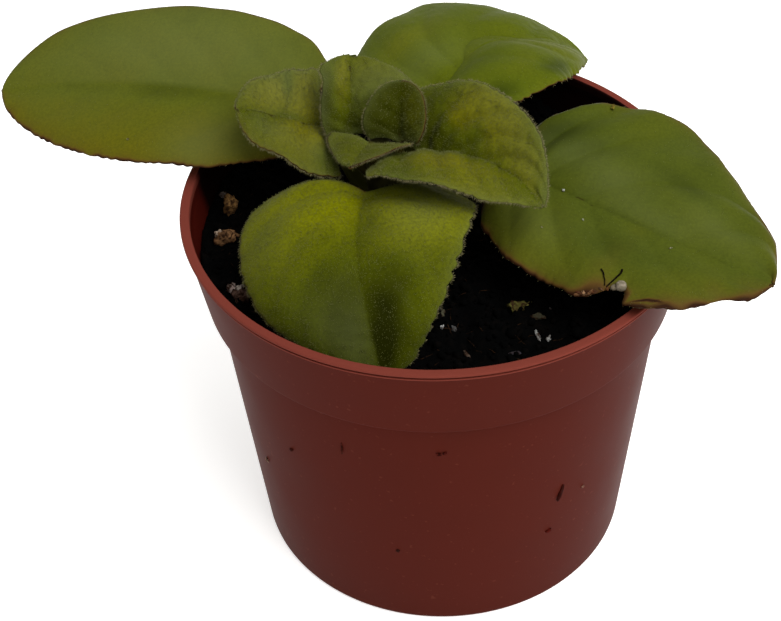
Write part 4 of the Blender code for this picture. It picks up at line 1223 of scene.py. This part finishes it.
def sown(surface, normal, density, draw):
    """Random roots on a grid of points, evenly spread over its area, and the normals there.

    A cell is drawn with the odds of its area, and two random shares place the root in it.
    """
    one = surface[1:, 1:] - surface[:-1, :-1]
    two = surface[1:, :-1] - surface[:-1, 1:]
    area = (np.linalg.norm(np.cross(one, two), axis=-1) / 2).ravel()
    cells = draw.choice(area.size, size=int(area.sum() * density), p=area / area.sum())
    row, column = np.divmod(cells, surface.shape[1] - 1)
    a, b = draw.uniform(0, 1, (2, len(cells), 1))
    return [(1 - a) * (1 - b) * grid[row, column] + a * (1 - b) * grid[row + 1, column]
            + (1 - a) * b * grid[row, column + 1] + a * b * grid[row + 1, column + 1]
            for grid in (surface, normal)]


def leaf_hairs(leaf, upper, under, normal, path, radii):
    """Hairs of one leaf: over the upper skin, thinner below, along the edge and the stalk.

    A hair stands along the normal, tipped a little at random. In the fringe it is longer and
    points out from the edge, away from the third column inside it. On the stalk it points
    away from the middle line, at a random turn about it. The third result tells the points
    of the fringe from the others.
    """
    density, length = leaf.hairs
    draw = np.random.default_rng(int(leaf.length * 100))
    roots, ways = sown(upper, normal, density, draw)
    low_roots, low_ways = sown(under[:-1], -normal[:-1], density * UNDER_SHARE, draw)
    along = draw.integers(0, STALK_RINGS - 1, int(STALK_RINGS * 6 * radii[0]))
    share = draw.uniform(0, 1, (len(along), 1))
    stalk_ways = draw.normal(size=(len(along), 3)) * (1, 1, 0.5)
    stalk_ways = stalk_ways / np.linalg.norm(stalk_ways, axis=1, keepdims=True)
    stalk_roots = ((1 - share) * path[along] + share * path[along + 1]
                   + stalk_ways * radii[0] * 0.9)
    all_roots, all_ways = [roots, low_roots, stalk_roots], [ways, low_ways, stalk_ways]
    bare = sum(len(part) for part in all_roots)
    for edge, inside in ((0, 3), (-1, -4)):
        rim = upper[:-1, edge]
        out = rim - upper[:-1, inside]
        out = out / np.maximum(np.linalg.norm(out, axis=1, keepdims=True), 1e-6)
        run = np.concatenate([[0], np.cumsum(np.linalg.norm(np.diff(rim, axis=0), axis=1))])
        feet = np.sort(draw.uniform(0, run[-1], int(run[-1] * density * FRINGE_COUNT)))
        all_roots.append(np.stack([np.interp(feet, run, rim[:, k]) for k in range(3)], -1))
        all_ways.append(np.stack([np.interp(feet, run, out[:, k]) for k in range(3)], -1))
    roots, ways = np.concatenate(all_roots), np.concatenate(all_ways)
    fringe = np.arange(len(roots)) >= bare
    spread = HAIR_SPREAD * np.where(fringe, FRINGE_SPREAD, 1.0)[:, None]
    ways = ways + spread * draw.normal(size=ways.shape)
    lengths = length * draw.uniform(0.6, 1.25, len(roots)) * np.where(fringe, FRINGE_LENGTH, 1.0)
    widths = draw.uniform(*HAIR_WIDTHS, len(roots))
    points, faces = strands(roots - 0.02 * ways, ways, lengths, widths, 7)
    return points, faces, np.repeat(fringe, len(points) // len(roots))


def give_share(piece, name, values):
    """Store one value for each of a piece's points, for its material to read."""
    share = piece.data.attributes.new(name, "FLOAT", "POINT")
    share.data.foreach_set("value", values.astype(np.float32))


hair = leaf_hair()
leaf_grids = {}
for leaf in LEAVES:
    blade_points, blade_faces, blade_shares, upper, under, normal = blade(leaf)
    stalk_path, stalk_radii = stalk(leaf)
    stalk_points, stalk_faces = tube(stalk_path, stalk_radii, STALK_SIDES)
    joined = np.concatenate([blade_points, stalk_points])
    faces = blade_faces + [[corner + len(blade_points) for corner in face] for face in stalk_faces]
    piece = add_piece("leaf_%s_flesh" % leaf.name, joined, faces,
                      living_leaf("leaf_%s_green" % leaf.name, leaf.greens,
                                  *SKIN_FINISH[leaf.slot]))
    for (share_name, stalk_value), values in zip(LEAF_SHARES.items(), blade_shares):
        give_share(piece, share_name,
                   np.concatenate([values, np.full(len(stalk_points), stalk_value)]))
    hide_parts("leaf_" + leaf.name)
    hair_points, hair_faces, fringe = leaf_hairs(leaf, upper, under, normal, stalk_path,
                                                 stalk_radii)
    hairs = add_piece("leaf_%s_hairs" % leaf.name, hair_points, hair_faces, hair)
    give_share(hairs, "fringe", fringe)
    leaf_grids[leaf.name] = (upper, normal)


# Litter on the leaves: a pale ball of perlite with a smaller one beside it and two black
# rootlets, caught at the bitten edge of the right old leaf, scraps of its own dried edge, and
# a few grains of grit.
# Grains: leaf, share of the length, side, half sizes and colour
LITTER_GRAINS = (
    ("right_outer", 0.573, -0.908, (0.93, 0.90, 0.88), "8c8170"),
    ("right_outer", 0.550, -0.945, (0.66, 0.52, 0.44), "5d5344"),
    ("right_outer", 0.535, -0.96, (0.45, 0.22, 0.16), "5a3a20"),
    ("right_outer", 0.520, -0.95, (0.60, 0.20, 0.14), "74543a"),
    ("right_outer", 0.508, -0.97, (0.55, 0.26, 0.18), "4a2a18"),
    ("right_outer", 0.498, -0.96, (0.65, 0.20, 0.15), "6a4a30"),
    ("right_outer", 0.486, -0.98, (0.50, 0.24, 0.16), "8a6a4c"),
    ("right_outer", 0.476, -0.98, (0.60, 0.22, 0.15), "4a2414"),
    ("right_outer", 0.466, -0.99, (0.45, 0.20, 0.15), "5e4028"),
    ("right_outer", 0.18, 0.01, (0.22, 0.18, 0.14), "b9bdb0"),
    ("right_outer", 0.33, -0.26, (0.24, 0.10, 0.10), "a3a78a"),
    ("right_outer", 0.24, -0.52, (0.14, 0.12, 0.10), "8f8f6c"),
    ("right_outer", 0.64, -0.16, (0.34, 0.09, 0.09), "a0a582"),
    ("right_outer", 0.159, 0.93, (0.55, 0.28, 0.26), "6e6420"),
    ("left_outer", 0.51, 0.75, (0.20, 0.18, 0.14), "9aa06a"),
)
# Rootlets: leaf, radius at each end, and places as share of the length, side and height
LITTER_ROOTS = (
    ("right_outer", (0.12, 0.08), ((0.496, -0.736, 0.25), (0.513, -0.775, 0.20),
                                   (0.521, -0.835, 0.20), (0.528, -0.925, 0.20))),
    ("right_outer", (0.18, 0.11), ((0.552, -0.655, 0.30), (0.553, -0.72, 0.25),
                                   (0.547, -0.82, 0.25), (0.532, -0.940, 0.25))),
)
ROOTLET_RINGS, ROOTLET_SIDES = 22, 10
# A grain higher than this is a round ball, the others are flat and angular
ROUND_HEIGHT = 0.4
BALL_DARK, SCRAP_DARK = "6b6352", "3c2a1c"
ROOTLET_COLOURS = ("120c08", "060403")


def leaf_spot(name, t, side):
    """The place on a leaf's upper skin nearest to a share of its length and a side."""
    upper, normal = leaf_grids[name]
    row = round(math.acos(1 - 2 * t) / math.pi * (upper.shape[0] - 1))
    column = int(np.abs(columns_across(upper.shape[1] - 1) - side).argmin())
    return upper[row, column], normal[row, column]


for index, (leaf_name, t, side, sizes, colour) in enumerate(LITTER_GRAINS):
    spot, away = leaf_spot(leaf_name, t, side)
    square, rough, dark = 0.75, 0.24, SCRAP_DARK
    if sizes[2] > ROUND_HEIGHT:
        square, rough, dark = 0.95, 0.03, BALL_DARK
    grain_points, grain_faces = chunk(sizes, 90 + index, square, rough, rows=14, sides=20)
    grain_points = turn_about(grain_points, "Z", 47 * index) + spot + away * 0.7 * sizes[2]
    grain = add_piece("litter_grain_%d" % index, grain_points, grain_faces,
                      dull_grain("litter_%d" % index, colour, dark))

for index, (leaf_name, ends, places) in enumerate(LITTER_ROOTS):
    marks = []
    for t, side, high in places:
        spot, away = leaf_spot(leaf_name, t, side)
        marks.append(spot + away * high)
    along = np.linspace(0, len(marks) - 1, ROOTLET_RINGS)
    path = np.stack([np.interp(along, np.arange(len(marks)), line) for line in zip(*marks)], -1)
    path = path + 0.10 * np.stack([np.sin(2.7 * along), np.cos(2.3 * along), 0 * along], -1)
    radii = np.linspace(*ends, ROOTLET_RINGS)
    root = add_piece("litter_root_%d" % index, *tube(path, radii, ROOTLET_SIDES),
                     dull_grain("rootlet_%d" % index, *ROOTLET_COLOURS))


low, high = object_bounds()
